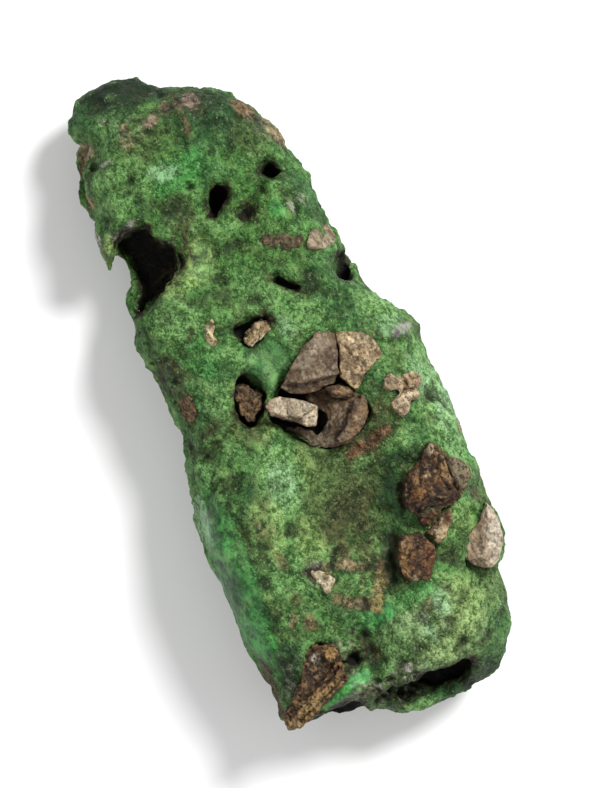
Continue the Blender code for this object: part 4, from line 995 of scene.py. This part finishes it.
# Broken rock: slot, three finishes (body, light, dark), facet size and height, pore size, depth and share,
# and its own patches and cracks, where it has any
ROCKS = {
    "cracked_upper": dict(
        slot="tan_rock", finishes=((184, 160, 122), (216, 196, 162), (80, 56, 36)), facet=(2.2, 0.2),
        pores=(0.5, 0.12, 0.45),
        patches=[(BROWN, -3.4, 13.6, 1.3, 1.4, 0, 0.6), (UMBER_GREEN, -2.8, 14.4, 1.4, 1.0, 0, 0.6),
                 (BROWN, 1.0, 9.4, 2.6, 0.7, 10, 0.45)],
        rough=[(0.6, 12.4, 4.0, 2.6, -30)], cracks=[([(-2.4, 10.4), (-0.2, 11.0), (1.6, 12.4)], 0.25, 0.2)]),
    "cracked_left": dict(
        slot="grey_rock", finishes=((116, 98, 75), (148, 130, 106), (74, 54, 37)), facet=(3.4, 0.22),
        pores=(0.5, 0.1, 0.45),
        patches=[(BROWN, 2.0, 3.4, 1.0, 4.6, 6, 0.6), (BROWN, -1.0, 5.8, 2.2, 2.6, 20, 0.3),
                 ((182, 168, 150), -4.0, 6.4, 1.2, 2.0, 20, 0.55), ((176, 164, 150), -2.6, 3.2, 1.0, 1.4, 20, 0.5)],
        rough=[(-0.8, 5.6, 2.4, 3.4, 10)],
        cracks=[([(0.1, -1.4), (0.8, 0.6), (1.3, 3.0), (1.4, 5.4)], 0.3, 0.35)]),
    "cracked_right": dict(
        slot="grey_rock", finishes=((108, 86, 62), (138, 114, 84), BARK), facet=(3.0, 0.24), pores=(0.7, 0.16, 0.4),
        patches=[(CLAY, 4.4, 7.0, 1.5, 1.9, 30, 0.75), ((186, 148, 104), 4.4, 7.4, 1.0, 1.3, 30, 0.6),
                 (BROWN, 7.8, 5.0, 3.0, 2.6, -30, 0.5), ((168, 136, 96), 9.8, 7.6, 1.2, 3.4, 40, 0.6),
                 (BARK, 8.8, 7.2, 0.5, 3.0, 44, 0.55), ((120, 112, 96), 10.4, 0.2, 2.6, 1.2, 60, 0.5),
                 # The night patch is painted shade at the rim of the deep hole beside the block
                 (NIGHT, 8.6, 2.2, 1.6, 1.2, 0, 0.8)],
        rough=[(9.8, 7.6, 1.7, 3.8, 40), (4.4, 7.2, 1.4, 1.8, 0)],
        cracks=[([(6.4, 9.4), (7.0, 7.6), (8.9, 6.4), (10.4, 4.6), (10.9, 2.6)], 0.4, 0.7),
                ([(3.4, 4.8), (4.6, 5.2), (5.6, 6.8), (5.9, 8.4)], 0.35, 0.6)]),
    "block": dict(
        slot="grey_rock", finishes=((194, 180, 158), (228, 214, 194), (98, 78, 58)), facet=(2.6, 0.16),
        pores=(0.7, 0.1, 0.35),
        # The near-white patch is painted light on the end facet that faces the light, and the brown one painted
        # shade on the steep lower side
        patches=[((248, 228, 202), 7.0, 0.8, 1.4, 1.8, 20, 0.9), (BROWN, 5.6, -3.6, 1.0, 3.4, -28, 0.8),
                 (CLAY, 2.2, -5.0, 1.0, 0.8, 0, 0.5)],
        cracks=[([(6.4, -1.4), (5.9, 0.4), (5.3, 2.2)], 0.16, 0.22),
                ([(2.4, -1.8), (4.2, -2.6), (5.2, -2.8)], 0.14, 0.12)]),
    "large_brown": dict(
        slot="dark_brown_rock", finishes=((58, 36, 15), (136, 94, 48), (20, 13, 7)), facet=(2.4, 0.4),
        pores=(0.5, 0.2, 0.35), rough=[(24.0, 15.0, 6.0, 5.0, 0)],
        patches=[((138, 130, 108), 24.4, 20.4, 2.8, 1.5, 0, 0.95), (BARK, 20.8, 14.2, 1.0, 3.0, 36, 0.5),
                 ((206, 190, 162), 19.0, 17.1, 1.0, 0.6, -30, 0.75),
                 ((182, 150, 104), 22.6, 18.2, 2.8, 0.8, 0, 0.7),
                 ((172, 118, 62), 25.2, 12.8, 0.9, 2.2, 8, 0.5), ((204, 182, 146), 22.6, 15.0, 0.8, 0.5, 0, 0.65),
                 ((196, 168, 128), 23.0, 12.9, 0.9, 0.5, 0, 0.6), (BARK, 27.2, 15.4, 1.1, 3.6, -6, 0.8),
                 ((108, 70, 52), 29.4, 13.0, 0.9, 1.6, 0, 0.6), (MOSS, 28.3, 13.6, 0.4, 2.4, 0, 0.6),
                 (BARK, 20.9, 15.8, 1.2, 0.9, 0, 0.6)],
        cracks=[([(21.4, 19.0), (24.0, 18.8), (26.8, 18.8)], 0.35, 0.5),
                ([(20.4, 18.0), (21.8, 17.3), (24.4, 17.1), (26.2, 17.6)], 0.25, 0.4),
                ([(28.2, 10.9), (27.8, 13.0), (28.4, 15.6), (28.2, 17.4)], 0.35, 0.5),
                ([(26.2, 10.4), (26.4, 13.2), (26.0, 16.6)], 0.22, 0.3)]),
    "small_tan": dict(
        slot="tan_rock", finishes=((112, 82, 52), (160, 134, 100), BARK), facet=(1.5, 0.35), pores=(0.8, 0.25, 0.4),
        patches=[((212, 190, 152), 32.5, 13.8, 0.8, 1.6, 35, 0.9)]),
    "russet": dict(
        slot="russet_rock", finishes=((84, 56, 30), (164, 124, 80), (34, 21, 12)), facet=(2.4, 0.3),
        pores=(0.5, 0.2, 0.4), rough=[(34.6, 8.4, 4.0, 2.6, -20)],
        patches=[((160, 124, 88), 33.0, 7.6, 1.4, 1.3, 0, 0.6), ((134, 78, 42), 35.6, 10.0, 2.2, 1.0, -24, 0.6),
                 ((182, 146, 98), 35.0, 6.2, 1.9, 0.7, -8, 0.75), (BARK, 31.6, 9.2, 0.9, 1.6, 0, 0.8),
                 (BARK, 37.6, 8.4, 0.7, 0.6, 0, 0.8), ((206, 190, 162), 37.7, 6.8, 0.8, 0.5, 0, 0.7),
                 ((186, 160, 126), 31.8, 7.2, 0.8, 0.5, -30, 0.6)],
        cracks=[([(34.8, 11.4), (35.6, 9.2), (36.9, 6.2)], 0.24, 0.45),
                ([(31.6, 9.9), (33.2, 8.8), (34.2, 6.2)], 0.22, 0.35)]),
    "rim_grey": dict(
        slot="grey_rock", finishes=((192, 176, 154), (218, 208, 194), (130, 100, 74)), facet=(2.6, 0.16),
        pores=(0.5, 0.14, 0.4), rough=[(38.8, 18.6, 2.2, 1.6, 40)],
        # The browner and the paler faces either side of the ridge are partly their own tone and partly painted
        # shade and light; the thin dark line along the ridge is a painted shadow
        patches=[((170, 144, 114), 36.2, 18.3, 4.6, 1.3, -22, 0.6),
                 ((212, 202, 188), 37.2, 21.8, 4.6, 1.4, -22, 0.9), ((88, 72, 58), 36.9, 18.9, 1.5, 0.3, -22, 0.9),
                 (CLAY, 33.4, 20.6, 1.6, 1.2, -40, 0.6), (BROWN, 39.2, 18.2, 1.4, 1.0, 40, 0.5),
                 ((212, 190, 162), 35.8, 17.4, 1.4, 0.8, -30, 0.6)]),
    "corner_porous": dict(
        slot="dark_brown_rock", finishes=((96, 68, 42), (166, 134, 90), (24, 16, 10)), facet=(1.7, 0.4),
        pores=(0.6, 0.5, 0.4), rough=[(48.5, -15.0, 4.6, 6.6, 24)],
        patches=[((192, 154, 92), 44.2, -10.9, 1.2, 1.1, 0, 0.85), (BARK, 46.2, -14.6, 2.3, 1.9, -20, 0.85),
                 ((214, 206, 192), 44.1, -13.6, 0.9, 0.8, 0, 0.9), (NIGHT, 45.8, -14.4, 1.4, 1.0, -20, 0.6),
                 (NIGHT, 44.4, -12.3, 1.5, 0.4, 0, 0.7), ((128, 86, 54), 48.0, -11.4, 2.0, 1.2, -20, 0.5),
                 ((198, 164, 110), 49.6, -13.2, 0.9, 2.6, 16, 0.85),
                 ((202, 170, 116), 51.3, -17.6, 1.2, 2.8, 24, 0.9),
                 ((196, 170, 124), 53.2, -21.0, 0.9, 1.4, 30, 0.8), (BARK, 43.0, -15.2, 0.8, 0.9, 0, 0.5)],
        cracks=[([(46.8, -10.6), (48.2, -12.8), (49.4, -15.2)], 0.25, 0.5),
                ([(45.8, -11.2), (47.4, -13.4), (48.8, -16.0), (50.0, -18.4)], 0.3, 0.6),
                ([(48.6, -10.4), (50.2, -13.6), (51.6, -17.0), (52.9, -20.0)], 0.18, 0.35)]),
    "pit_tan": dict(
        slot="tan_rock", finishes=((182, 160, 122), (218, 200, 166), BROWN), facet=(1.3, 0.45),
        pores=(0.6, 0.3, 0.4)),
    "sliver_tan": dict(
        slot="tan_rock", finishes=((190, 174, 130), (222, 212, 174), BARK), facet=(1.2, 0.4),
        pores=(0.6, 0.35, 0.45)),
    "pit_brown": dict(
        slot="dark_brown_rock", finishes=((104, 82, 54), (158, 126, 88), BARK), facet=(1.3, 0.5),
        pores=(0.7, 0.5, 0.5)),
    "edge_brown": dict(
        slot="russet_rock", finishes=((122, 98, 70), (162, 138, 106), BARK), facet=(1.4, 0.4),
        pores=(0.6, 0.3, 0.4)),
    "band_tan": dict(
        slot="grey_rock", finishes=((152, 140, 116), (184, 174, 152), (116, 88, 62)), facet=(2.0, 0.25),
        pores=(0.6, 0.12, 0.35)),
    "band_brown": dict(
        slot="dark_brown_rock", finishes=((92, 84, 58), (122, 110, 80), (54, 44, 28)), facet=(1.8, 0.25),
        pores=(0.6, 0.18, 0.4)),
    "forked": dict(
        slot="tan_rock", finishes=((210, 190, 158), (232, 216, 190), (120, 92, 62)), facet=(1.6, 0.3),
        pores=(0.6, 0.22, 0.4),
        patches=[(BROWN, 6.0, 15.2, 1.6, 1.2, 0, 0.4), ((160, 130, 94), 7.4, 18.6, 1.6, 1.6, 0, 0.5)],
        cracks=[([(6.2, 17.4), (7.4, 17.6), (8.4, 16.8)], 0.35, 0.6),
                ([(8.6, 18.4), (8.2, 17.2), (8.8, 15.6)], 0.3, 0.5)]),
    "pale_chip": dict(
        slot="tan_rock", finishes=((216, 204, 172), (236, 226, 200), BROWN), facet=(2.0, 0.2),
        pores=(0.6, 0.1, 0.3)),
}


def facing(azimuth, elevation):
    """A direction from its azimuth and elevation in degrees."""
    a, e = math.radians(azimuth), math.radians(elevation)
    return Vector((math.cos(a) * math.cos(e), math.sin(a) * math.cos(e), math.sin(e)))


def chip(shape, place, normal):
    """Takes off what lies beyond a break, and closes it."""
    cut = bmesh.ops.bisect_plane(
        shape, geom=shape.verts[:] + shape.edges[:] + shape.faces[:], dist=1e-5,
        plane_co=place, plane_no=normal, clear_outer=True,
    )
    rim = [one for one in cut["geom_cut"] if isinstance(one, bmesh.types.BMEdge)]
    if rim:
        bmesh.ops.triangle_fill(shape, use_beauty=True, use_dissolve=False, edges=rim, normal=normal)


def rock_body(nodes, name):
    """A fragment's rough form: its blocks, or a copy of its own solid where that is form enough."""
    node = nodes["matrix_fragment_" + name]
    whole = bmesh.new()
    if name not in BLOCKS:
        block = merged_copy(node)
        grow(block, ROCK_GROWTH, 0.0)
        join(whole, block)
    top = max(vertex.co.z for vertex in node.data.vertices) / MM
    for plan, lift, root, breaks in BLOCKS.get(name, []):
        block = prism(uneven(plan, PLAN_WOBBLE), top - root, top + lift + 3.0)
        for x, y, height, azimuth, elevation in breaks:
            chip(block, Vector((x, y, top + lift + height)), facing(azimuth, elevation))
        bmesh.ops.recalc_face_normals(block, faces=block.faces)
        join(whole, block)
    piece = new_piece("rock_" + name, to_mesh(whole, "rock_" + name))
    remesh(piece, ROCK_CELL)
    return piece


def roughness_of(x, y, rough):
    """Where a fragment is broken up into grit, 0 to 1."""
    share = np.zeros(len(x))
    for one in rough:
        share = np.maximum(share, patch(x, y, *one, 0.4))
    return share


def break_rock(piece, seed, facet, pores, cracks, rough):
    """Broken facets, cracks, pores and fine roughness, by moving the points of a remeshed block."""
    co, normals = places(piece), directions(piece)
    spacing, height = facet
    _, middle = cells(co, spacing, seed)
    lean = np.stack([chance(middle, seed + k) - 0.5 for k in (1.0, 2.0, 3.0)], axis=1)
    offset = co / spacing + np.array(shift_of(seed)) - middle
    move = height * (1.6 * np.sum(offset * lean, axis=1) + chance(middle, seed + 4.0) - 0.5)
    size, depth, share = pores
    near, middle = cells(co, size, seed + 7.0)
    hole = (chance(middle, seed) < share) * (1 - rise(near, 0.15, 0.5))
    x, y = drifted(co, (0.2, 0.9, 71.0, 83.0))
    for points, half_width, crack_depth in cracks:
        line = near_line(x, y, points, half_width) * rise(normals[:, 2], 0.0, 0.4)
        move -= crack_depth * line
        hole = np.maximum(hole, line)
    move += 0.1 * wander(co, 1.1, seed) + 0.08 * wander(co, 0.55, seed + 3.0)
    move += roughness_of(x, y, rough) * (0.2 * wander(co, 0.9, seed + 11.0) + 0.12 * wander(co, 0.42, seed + 13.0))
    co = co + normals * (move - depth * hole)[:, None]
    move_to(piece, co)
    return hole


def paint_rock(piece, seed, finishes, patches, rough, hole, closed):
    """A fragment's ground colour, point by point, with painted shade in its pores and cracks and where the crust
    closes round it.
    """
    body, light, dark = [linear(one) for one in finishes]
    co = places(piece)
    x, y = drifted(co, (0.3, 1.2, 21.0, 37.0), (0.15, 0.5, 25.0, 39.0))
    coats = [
        (light, 0.75 * rise(wander(co, 2.0, seed + 5.0), 0.0, 0.45)),
        (dark, 0.6 * rise(wander(co, 1.6, seed + 9.0), 0.12, 0.5)),
    ]
    for finish, middle_x, middle_y, half_x, half_y, turn, strength in patches:
        coats.append((linear(finish), strength * patch(x, y, middle_x, middle_y, half_x, half_y, turn)))
    grit = roughness_of(x, y, rough)
    coats += [
        (light, 0.5 * grit * rise(wander(co, 0.5, seed + 15.0), 0.0, 0.35)),
        (dark, 0.65 * grit * rise(wander(co, 0.55, seed + 17.0), 0.05, 0.35)),
        # Painted shade in the pores and cracks, and where the crust closes in round the fragment
        (dark, 0.8 * hole),
        (linear(NIGHT), 0.95 * rise(closed, 0.4, 0.72)),
    ]
    ground = np.tile(body, (len(co), 1))
    for finish, share in coats:
        ground = ground + (finish - ground) * share[:, None]
    keep_values(piece, "ground", ground * np.array(ROCK_WARMTH))


def make_rock(
    nodes, name, seed, low, high, tree, facet, pores, finishes, patches=(), cracks=(), rough=(), **_,
):
    """One fragment, formed, broken and painted, with painted shade where the crust shelters it. The tree is the
    crust's.
    """
    piece = rock_body(nodes, name)
    hole = break_rock(piece, seed, facet, pores, cracks, rough)
    fit_inside(piece, low, high)
    closed = shelter(places(piece), directions(piece), tree)
    paint_rock(piece, seed, finishes, patches, rough, hole, closed)
    return piece


# Finishes

# Kinds of host rock: colours of the light and the dark grains, their size, how strong they are, and the roughness
ROCK_LOOKS = {
    "tan_rock": ((222, 206, 172), (70, 50, 34), 0.6, 0.65, 0.85),
    "grey_rock": ((204, 192, 170), (70, 54, 40), 0.6, 0.45, 0.8),
    "dark_brown_rock": ((164, 130, 88), (22, 15, 9), 0.6, 0.8, 0.85),
    "russet_rock": ((182, 140, 96), (30, 18, 10), 0.6, 0.7, 0.85),
}


def socket(group, name, kind, way, value=None):
    """Gives a node group an input or an output."""
    made = group.interface.new_socket(name=name, in_out=way, socket_type="NodeSocket" + kind)
    if value is not None:
        made.default_value = value


def add(tree, kind, inputs=(), **settings):
    """Adds a node, sets it up and links or sets its inputs."""
    node = tree.nodes.new(kind)
    for name, value in settings.items():
        setattr(node, name, value)
    for name, value in dict(inputs).items():
        if isinstance(value, bpy.types.NodeSocket):
            tree.links.new(value, node.inputs[name])
        else:
            node.inputs[name].default_value = value
    return node


def maths(tree, operation, a, b):
    """One sum on two values."""
    return add(tree, "ShaderNodeMath", {0: a, 1: b}, operation=operation).outputs[0]


def weighted(tree, terms):
    """The sum of values, each times its weight."""
    total = None
    for value, weight in terms:
        term = maths(tree, "MULTIPLY", value, weight)
        total = term if total is None else maths(tree, "ADD", total, term)
    return total


def blend(tree, share, a, b, mode="MIX"):
    """Mixes two colours."""
    node = add(tree, "ShaderNodeMix", {"Factor": share}, data_type="RGBA", blend_type=mode)
    for index, value in ((6, a), (7, b)):
        if isinstance(value, bpy.types.NodeSocket):
            tree.links.new(value, node.inputs[index])
        else:
            node.inputs[index].default_value = value
    return node.outputs[2]


def between(tree, value, start, end, to_start=0.0, to_end=1.0):
    """Turns one range of a value into another, with soft ends."""
    return add(
        tree, "ShaderNodeMapRange",
        {"Value": value, "From Min": start, "From Max": end, "To Min": to_start, "To Max": to_end},
        interpolation_type="SMOOTHSTEP",
    ).outputs["Result"]


def grain_group():
    """Small crystals packed together: a tone for each, the dark lines between them, and their height."""
    group = bpy.data.node_groups.new("packed_grains", "ShaderNodeTree")
    socket(group, "Place", "Vector", "INPUT")
    socket(group, "Size", "Float", "INPUT", 0.7)
    for name in ("Tone", "Kind", "Gap", "Height"):
        socket(group, name, "Float", "OUTPUT")
    start = group.nodes.new("NodeGroupInput")
    end = group.nodes.new("NodeGroupOutput")
    bend = add(group, "ShaderNodeTexNoise", {"Vector": start.outputs["Place"], "Scale": 1.7, "Detail": 1.0})
    bent = add(group, "ShaderNodeVectorMath", {0: bend.outputs["Color"], 1: (0.5, 0.5, 0.5)}, operation="MULTIPLY")
    place = add(group, "ShaderNodeVectorMath", {0: start.outputs["Place"], 1: bent.outputs[0]}, operation="ADD")
    often = maths(group, "DIVIDE", 1.0, start.outputs["Size"])
    cell = add(group, "ShaderNodeTexVoronoi", {"Vector": place.outputs[0], "Scale": often}, feature="F1")
    edge = add(
        group, "ShaderNodeTexVoronoi", {"Vector": place.outputs[0], "Scale": often}, feature="DISTANCE_TO_EDGE")
    tone = add(group, "ShaderNodeSeparateColor", {"Color": cell.outputs["Color"]})
    group.links.new(tone.outputs[0], end.inputs["Tone"])
    group.links.new(tone.outputs[1], end.inputs["Kind"])
    group.links.new(between(group, edge.outputs["Distance"], 0.0, 0.16, 1.0, 0.0), end.inputs["Gap"])
    group.links.new(between(group, cell.outputs["Distance"], 0.0, 0.75, 1.0, 0.0), end.inputs["Height"])
    return group


def mottle_group():
    """Soft cloudy changes of tone from 0 to 1 at one spacing."""
    group = bpy.data.node_groups.new("mottle", "ShaderNodeTree")
    socket(group, "Place", "Vector", "INPUT")
    socket(group, "Spacing", "Float", "INPUT", 3.0)
    socket(group, "Tone", "Float", "OUTPUT")
    start = group.nodes.new("NodeGroupInput")
    end = group.nodes.new("NodeGroupOutput")
    often = maths(group, "DIVIDE", 1.0, start.outputs["Spacing"])
    cloud = add(
        group, "ShaderNodeTexNoise",
        {"Vector": start.outputs["Place"], "Scale": often, "Detail": 6.0, "Roughness": 0.72},
    )
    group.links.new(between(group, cloud.outputs["Fac"], 0.3, 0.7), end.inputs["Tone"])
    return group


def even_grey(tree, tone):
    """A grey of the given tone."""
    return add(tree, "ShaderNodeCombineColor", {0: tone, 1: tone, 2: tone}).outputs[0]


def use_group(tree, group, **inputs):
    """Places a node group in a material with its own values."""
    return add(tree, "ShaderNodeGroup", inputs, node_tree=group)


def millimetres(tree):
    """Object coordinates counted in millimetres."""
    spot = tree.nodes.new("ShaderNodeTexCoord")
    return add(
        tree, "ShaderNodeVectorMath", {0: spot.outputs["Object"], 1: (1 / MM, 1 / MM, 1 / MM)},
        operation="MULTIPLY",
    ).outputs[0]


def attribute(tree, name, output):
    """Reads what keep_values stored."""
    return add(tree, "ShaderNodeAttribute", attribute_name=name).outputs[output]


def crust_finish(grains, mottle):
    """Granular variscite: darker and paler grains over the painted ground, calm where it is waxy."""
    made = bpy.data.materials.new("granular_variscite")
    made.use_nodes = True
    tree = made.node_tree
    shader = tree.nodes["Principled BSDF"]
    place = millimetres(tree)
    ground = attribute(tree, "ground", "Color")
    waxy = attribute(tree, "waxy", "Fac")
    sugary = between(tree, waxy, 0.0, 1.0, 1.0, 0.45)
    coarse = use_group(tree, grains, Place=place, Size=0.62)
    fine = use_group(tree, grains, Place=place, Size=0.34)
    dust = use_group(tree, mottle, Place=place, Spacing=0.26)
    patchy = use_group(tree, mottle, Place=place, Spacing=1.3)
    cloud = use_group(tree, mottle, Place=place, Spacing=3.4)
    # One tone from 0 to 1 gathers every size of grain
    tone = weighted(tree, [
        (coarse.outputs["Tone"], 0.15), (fine.outputs["Tone"], 0.25), (dust.outputs["Tone"], 0.14),
        (patchy.outputs["Tone"], 0.24), (cloud.outputs["Tone"], 0.22),
    ])
    tone = between(tree, tone, 0.24, 0.76)
    # Green grains keep their green when they are dark, and stony ones turn grey
    stony = attribute(tree, "stony", "Fac")
    darker = blend(tree, stony, (0.25, 0.37, 0.16, 1), (0.34, 0.31, 0.27, 1))
    paler = blend(tree, stony, (2.05, 1.76, 2.0, 1), (1.7, 1.7, 1.66, 1))
    dark = blend(tree, 1.0, ground, darker, "MULTIPLY")
    pale = blend(tree, 1.0, ground, paler, "MULTIPLY")
    grained = blend(tree, tone, dark, pale)
    # Each grain leans a little to yellow or to blue green
    lean = blend(tree, fine.outputs["Kind"], (1.22, 1.02, 0.72, 1), (0.82, 1.0, 1.22, 1))
    grained = blend(tree, 0.1, grained, lean, "MULTIPLY")
    # Where it is waxy the tone drifts softly instead
    soft = weighted(tree, [(cloud.outputs["Tone"], 0.5), (patchy.outputs["Tone"], 0.5)])
    soft = between(tree, soft, 0.15, 0.85, 0.35, 1.9)
    drift = blend(tree, 1.0, ground, even_grey(tree, soft), "MULTIPLY")
    colour = blend(tree, sugary, drift, grained)
    # A few near-white flecks, and dark seams between some of the larger grains
    fleck = maths(
        tree, "MULTIPLY", between(tree, fine.outputs["Tone"], 0.92, 0.97),
        between(tree, dust.outputs["Tone"], 0.4, 0.8),
    )
    fleck = maths(tree, "MULTIPLY", fleck, maths(tree, "MULTIPLY", sugary, 0.35))
    colour = blend(tree, fleck, colour, (0.4, 0.46, 0.26, 1))
    seam = maths(tree, "MULTIPLY", coarse.outputs["Gap"], between(tree, patchy.outputs["Tone"], 0.65, 0.15))
    seam = maths(tree, "MULTIPLY", seam, maths(tree, "MULTIPLY", sugary, 0.6))
    colour = blend(tree, seam, colour, (0.008, 0.018, 0.006, 1))
    # Where the ground is painted nearly black, as the painted shade of hollows and the darkest stains are, the
    # grains leave it as it is
    lit = between(tree, add(tree, "ShaderNodeSeparateColor", {"Color": ground}).outputs[1], 0.004, 0.04)
    colour = blend(tree, lit, ground, colour)
    tree.links.new(colour, shader.inputs["Base Color"])
    tree.links.new(between(tree, waxy, 0.0, 1.0, 0.68, 0.4), shader.inputs["Roughness"])
    shader.inputs["Specular IOR Level"].default_value = 0.22
    height = weighted(tree, [
        (coarse.outputs["Height"], 0.9), (fine.outputs["Height"], 0.6), (dust.outputs["Tone"], 0.4),
    ])
    height = maths(tree, "MULTIPLY", height, sugary)
    height = maths(tree, "ADD", height, maths(tree, "MULTIPLY", patchy.outputs["Tone"], 0.5))
    bump = add(tree, "ShaderNodeBump", {"Height": height, "Strength": 0.9, "Distance": 0.16 * MM})
    tree.links.new(bump.outputs["Normal"], shader.inputs["Normal"])
    return made


def rock_finish(name, grains, mottle, light, dark, grain_size, speckle, roughness):
    """Host rock: the ground kept in the mesh, with grain, streaks and dark specks."""
    made = bpy.data.materials.new(name)
    made.use_nodes = True
    tree = made.node_tree
    shader = tree.nodes["Principled BSDF"]
    place = millimetres(tree)
    ground = attribute(tree, "ground", "Color")
    grain = use_group(tree, grains, Place=place, Size=grain_size)
    fine = use_group(tree, grains, Place=place, Size=grain_size * 0.55)
    cloud = use_group(tree, mottle, Place=place, Spacing=1.3)
    stretched = add(tree, "ShaderNodeVectorMath", {0: place, 1: (0.45, 1.3, 1.3)}, operation="MULTIPLY").outputs[0]
    streak = use_group(tree, mottle, Place=stretched, Spacing=0.9)
    pale = (*linear(light), 1.0)
    deep = (*linear(dark), 1.0)
    pale_grains = maths(tree, "MULTIPLY", between(tree, grain.outputs["Tone"], 0.6, 0.95), speckle * 0.6)
    dark_dust = maths(tree, "MULTIPLY", between(tree, fine.outputs["Tone"], 0.4, 0.05), speckle)
    dark_grains = maths(tree, "MULTIPLY", between(tree, grain.outputs["Tone"], 0.3, 0.05), speckle * 0.65)
    colour = blend(tree, pale_grains, ground, pale)
    colour = blend(tree, dark_dust, colour, deep)
    colour = blend(tree, dark_grains, colour, deep)
    shade = maths(
        tree, "MULTIPLY", between(tree, cloud.outputs["Tone"], 0.0, 1.0, 0.7, 1.25),
        between(tree, streak.outputs["Tone"], 0.0, 1.0, 0.74, 1.22),
    )
    colour = blend(tree, 1.0, colour, even_grey(tree, shade), "MULTIPLY")
    tree.links.new(colour, shader.inputs["Base Color"])
    dull = between(tree, cloud.outputs["Tone"], 0.0, 1.0, roughness, roughness - 0.12)
    tree.links.new(dull, shader.inputs["Roughness"])
    shader.inputs["Specular IOR Level"].default_value = 0.35
    height = weighted(
        tree, [(grain.outputs["Height"], 0.7), (fine.outputs["Height"], 0.4), (streak.outputs["Tone"], 0.6)])
    bump = add(tree, "ShaderNodeBump", {"Height": height, "Strength": 0.7, "Distance": 0.12 * MM})
    tree.links.new(bump.outputs["Normal"], shader.inputs["Normal"])
    return made


def floor_finish():
    """Pale, with very soft clouds."""
    made = bpy.data.materials.new("pale_floor")
    made.use_nodes = True
    tree = made.node_tree
    shader = tree.nodes["Principled BSDF"]
    cloud = add(tree, "ShaderNodeTexNoise", {"Vector": millimetres(tree), "Scale": 0.02, "Detail": 1.0})
    tone = between(tree, cloud.outputs["Fac"], 0.3, 0.7, 0.86, 0.9)
    tree.links.new(even_grey(tree, tone), shader.inputs["Base Color"])
    shader.inputs["Roughness"].default_value = 0.9
    return made


# The setting

# The picture's upright runs across the stone: the way that its right side points, in plan
PICTURE_RIGHT = (0.3766, 0.9264)
PICTURE_MIDDLE = (1.99, -0.14)
CAMERA_HEIGHT = 610.5
LENS = 161.0

# Lights: name, azimuth and elevation in degrees, distance and size in metres, power
LIGHTS = [("key", 113, 48, 0.9, 0.28, 10.5), ("fill", -60, 60, 0.9, 0.6, 2.0)]
SKY_STRENGTH = 0.5


def add_camera():
    """A camera straight above the stone."""
    lens = bpy.data.cameras.new("camera")
    lens.lens = LENS
    lens.sensor_width = 36.0
    lens.clip_end = 20.0
    camera = bpy.data.objects.new("camera", lens)
    bpy.context.scene.collection.objects.link(camera)
    camera.location = (PICTURE_MIDDLE[0] * MM, PICTURE_MIDDLE[1] * MM, CAMERA_HEIGHT * MM)
    camera.rotation_euler = (0.0, 0.0, math.atan2(PICTURE_RIGHT[1], PICTURE_RIGHT[0]))
    bpy.context.scene.camera = camera


def add_light(name, azimuth, elevation, distance, size, power):
    """A soft round light that faces the stone."""
    lamp = bpy.data.lights.new(name, "AREA")
    lamp.shape = "DISK"
    lamp.size = size
    lamp.energy = power
    light = bpy.data.objects.new(name, lamp)
    bpy.context.scene.collection.objects.link(light)
    away = facing(azimuth, elevation)
    light.location = away * distance
    light.rotation_euler = away.to_track_quat("Z", "Y").to_euler()


def add_setting():
    """The floor, the sky and the lights."""
    shape = bmesh.new()
    bmesh.ops.create_grid(shape, x_segments=8, y_segments=8, size=2.0)
    floor = new_piece("floor", to_mesh(shape, "floor"))
    floor.data.materials.append(floor_finish())
    world = bpy.data.worlds.new("studio")
    bpy.context.scene.world = world
    world.use_nodes = True
    world.node_tree.nodes["Background"].inputs["Color"].default_value = (1.0, 1.0, 1.0, 1.0)
    world.node_tree.nodes["Background"].inputs["Strength"].default_value = SKY_STRENGTH
    for light in LIGHTS:
        add_light(*light)
    bpy.context.scene.view_settings.view_transform = "Standard"


def main():
    noise.seed_set(EDGE_SEED)
    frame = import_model()
    cad_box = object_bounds()
    nodes = frame["nodes"]
    fragments = sorted(name for name in nodes if name != "variscite")
    low = np.array(cad_box[0], float) / MM
    high = np.array(cad_box[1], float) / MM
    grains, mottle = grain_group(), mottle_group()
    rock_finishes = {name: rock_finish(name, grains, mottle, *look) for name, look in ROCK_LOOKS.items()}
    crust = make_crust(nodes, fragments, low, high)
    tree = tree_of(crust.data)
    for number, (name, facts) in enumerate(ROCKS.items()):
        rock = make_rock(nodes, name, 10.0 + 3.7 * number, low, high, tree, **facts)
        finish_piece(rock, rock_finishes[facts["slot"]], facts["slot"], "matrix_fragment_" + name)
    finish_piece(crust, crust_finish(grains, mottle), "green_variscite", "variscite")
    add_setting()
    add_camera()


main()
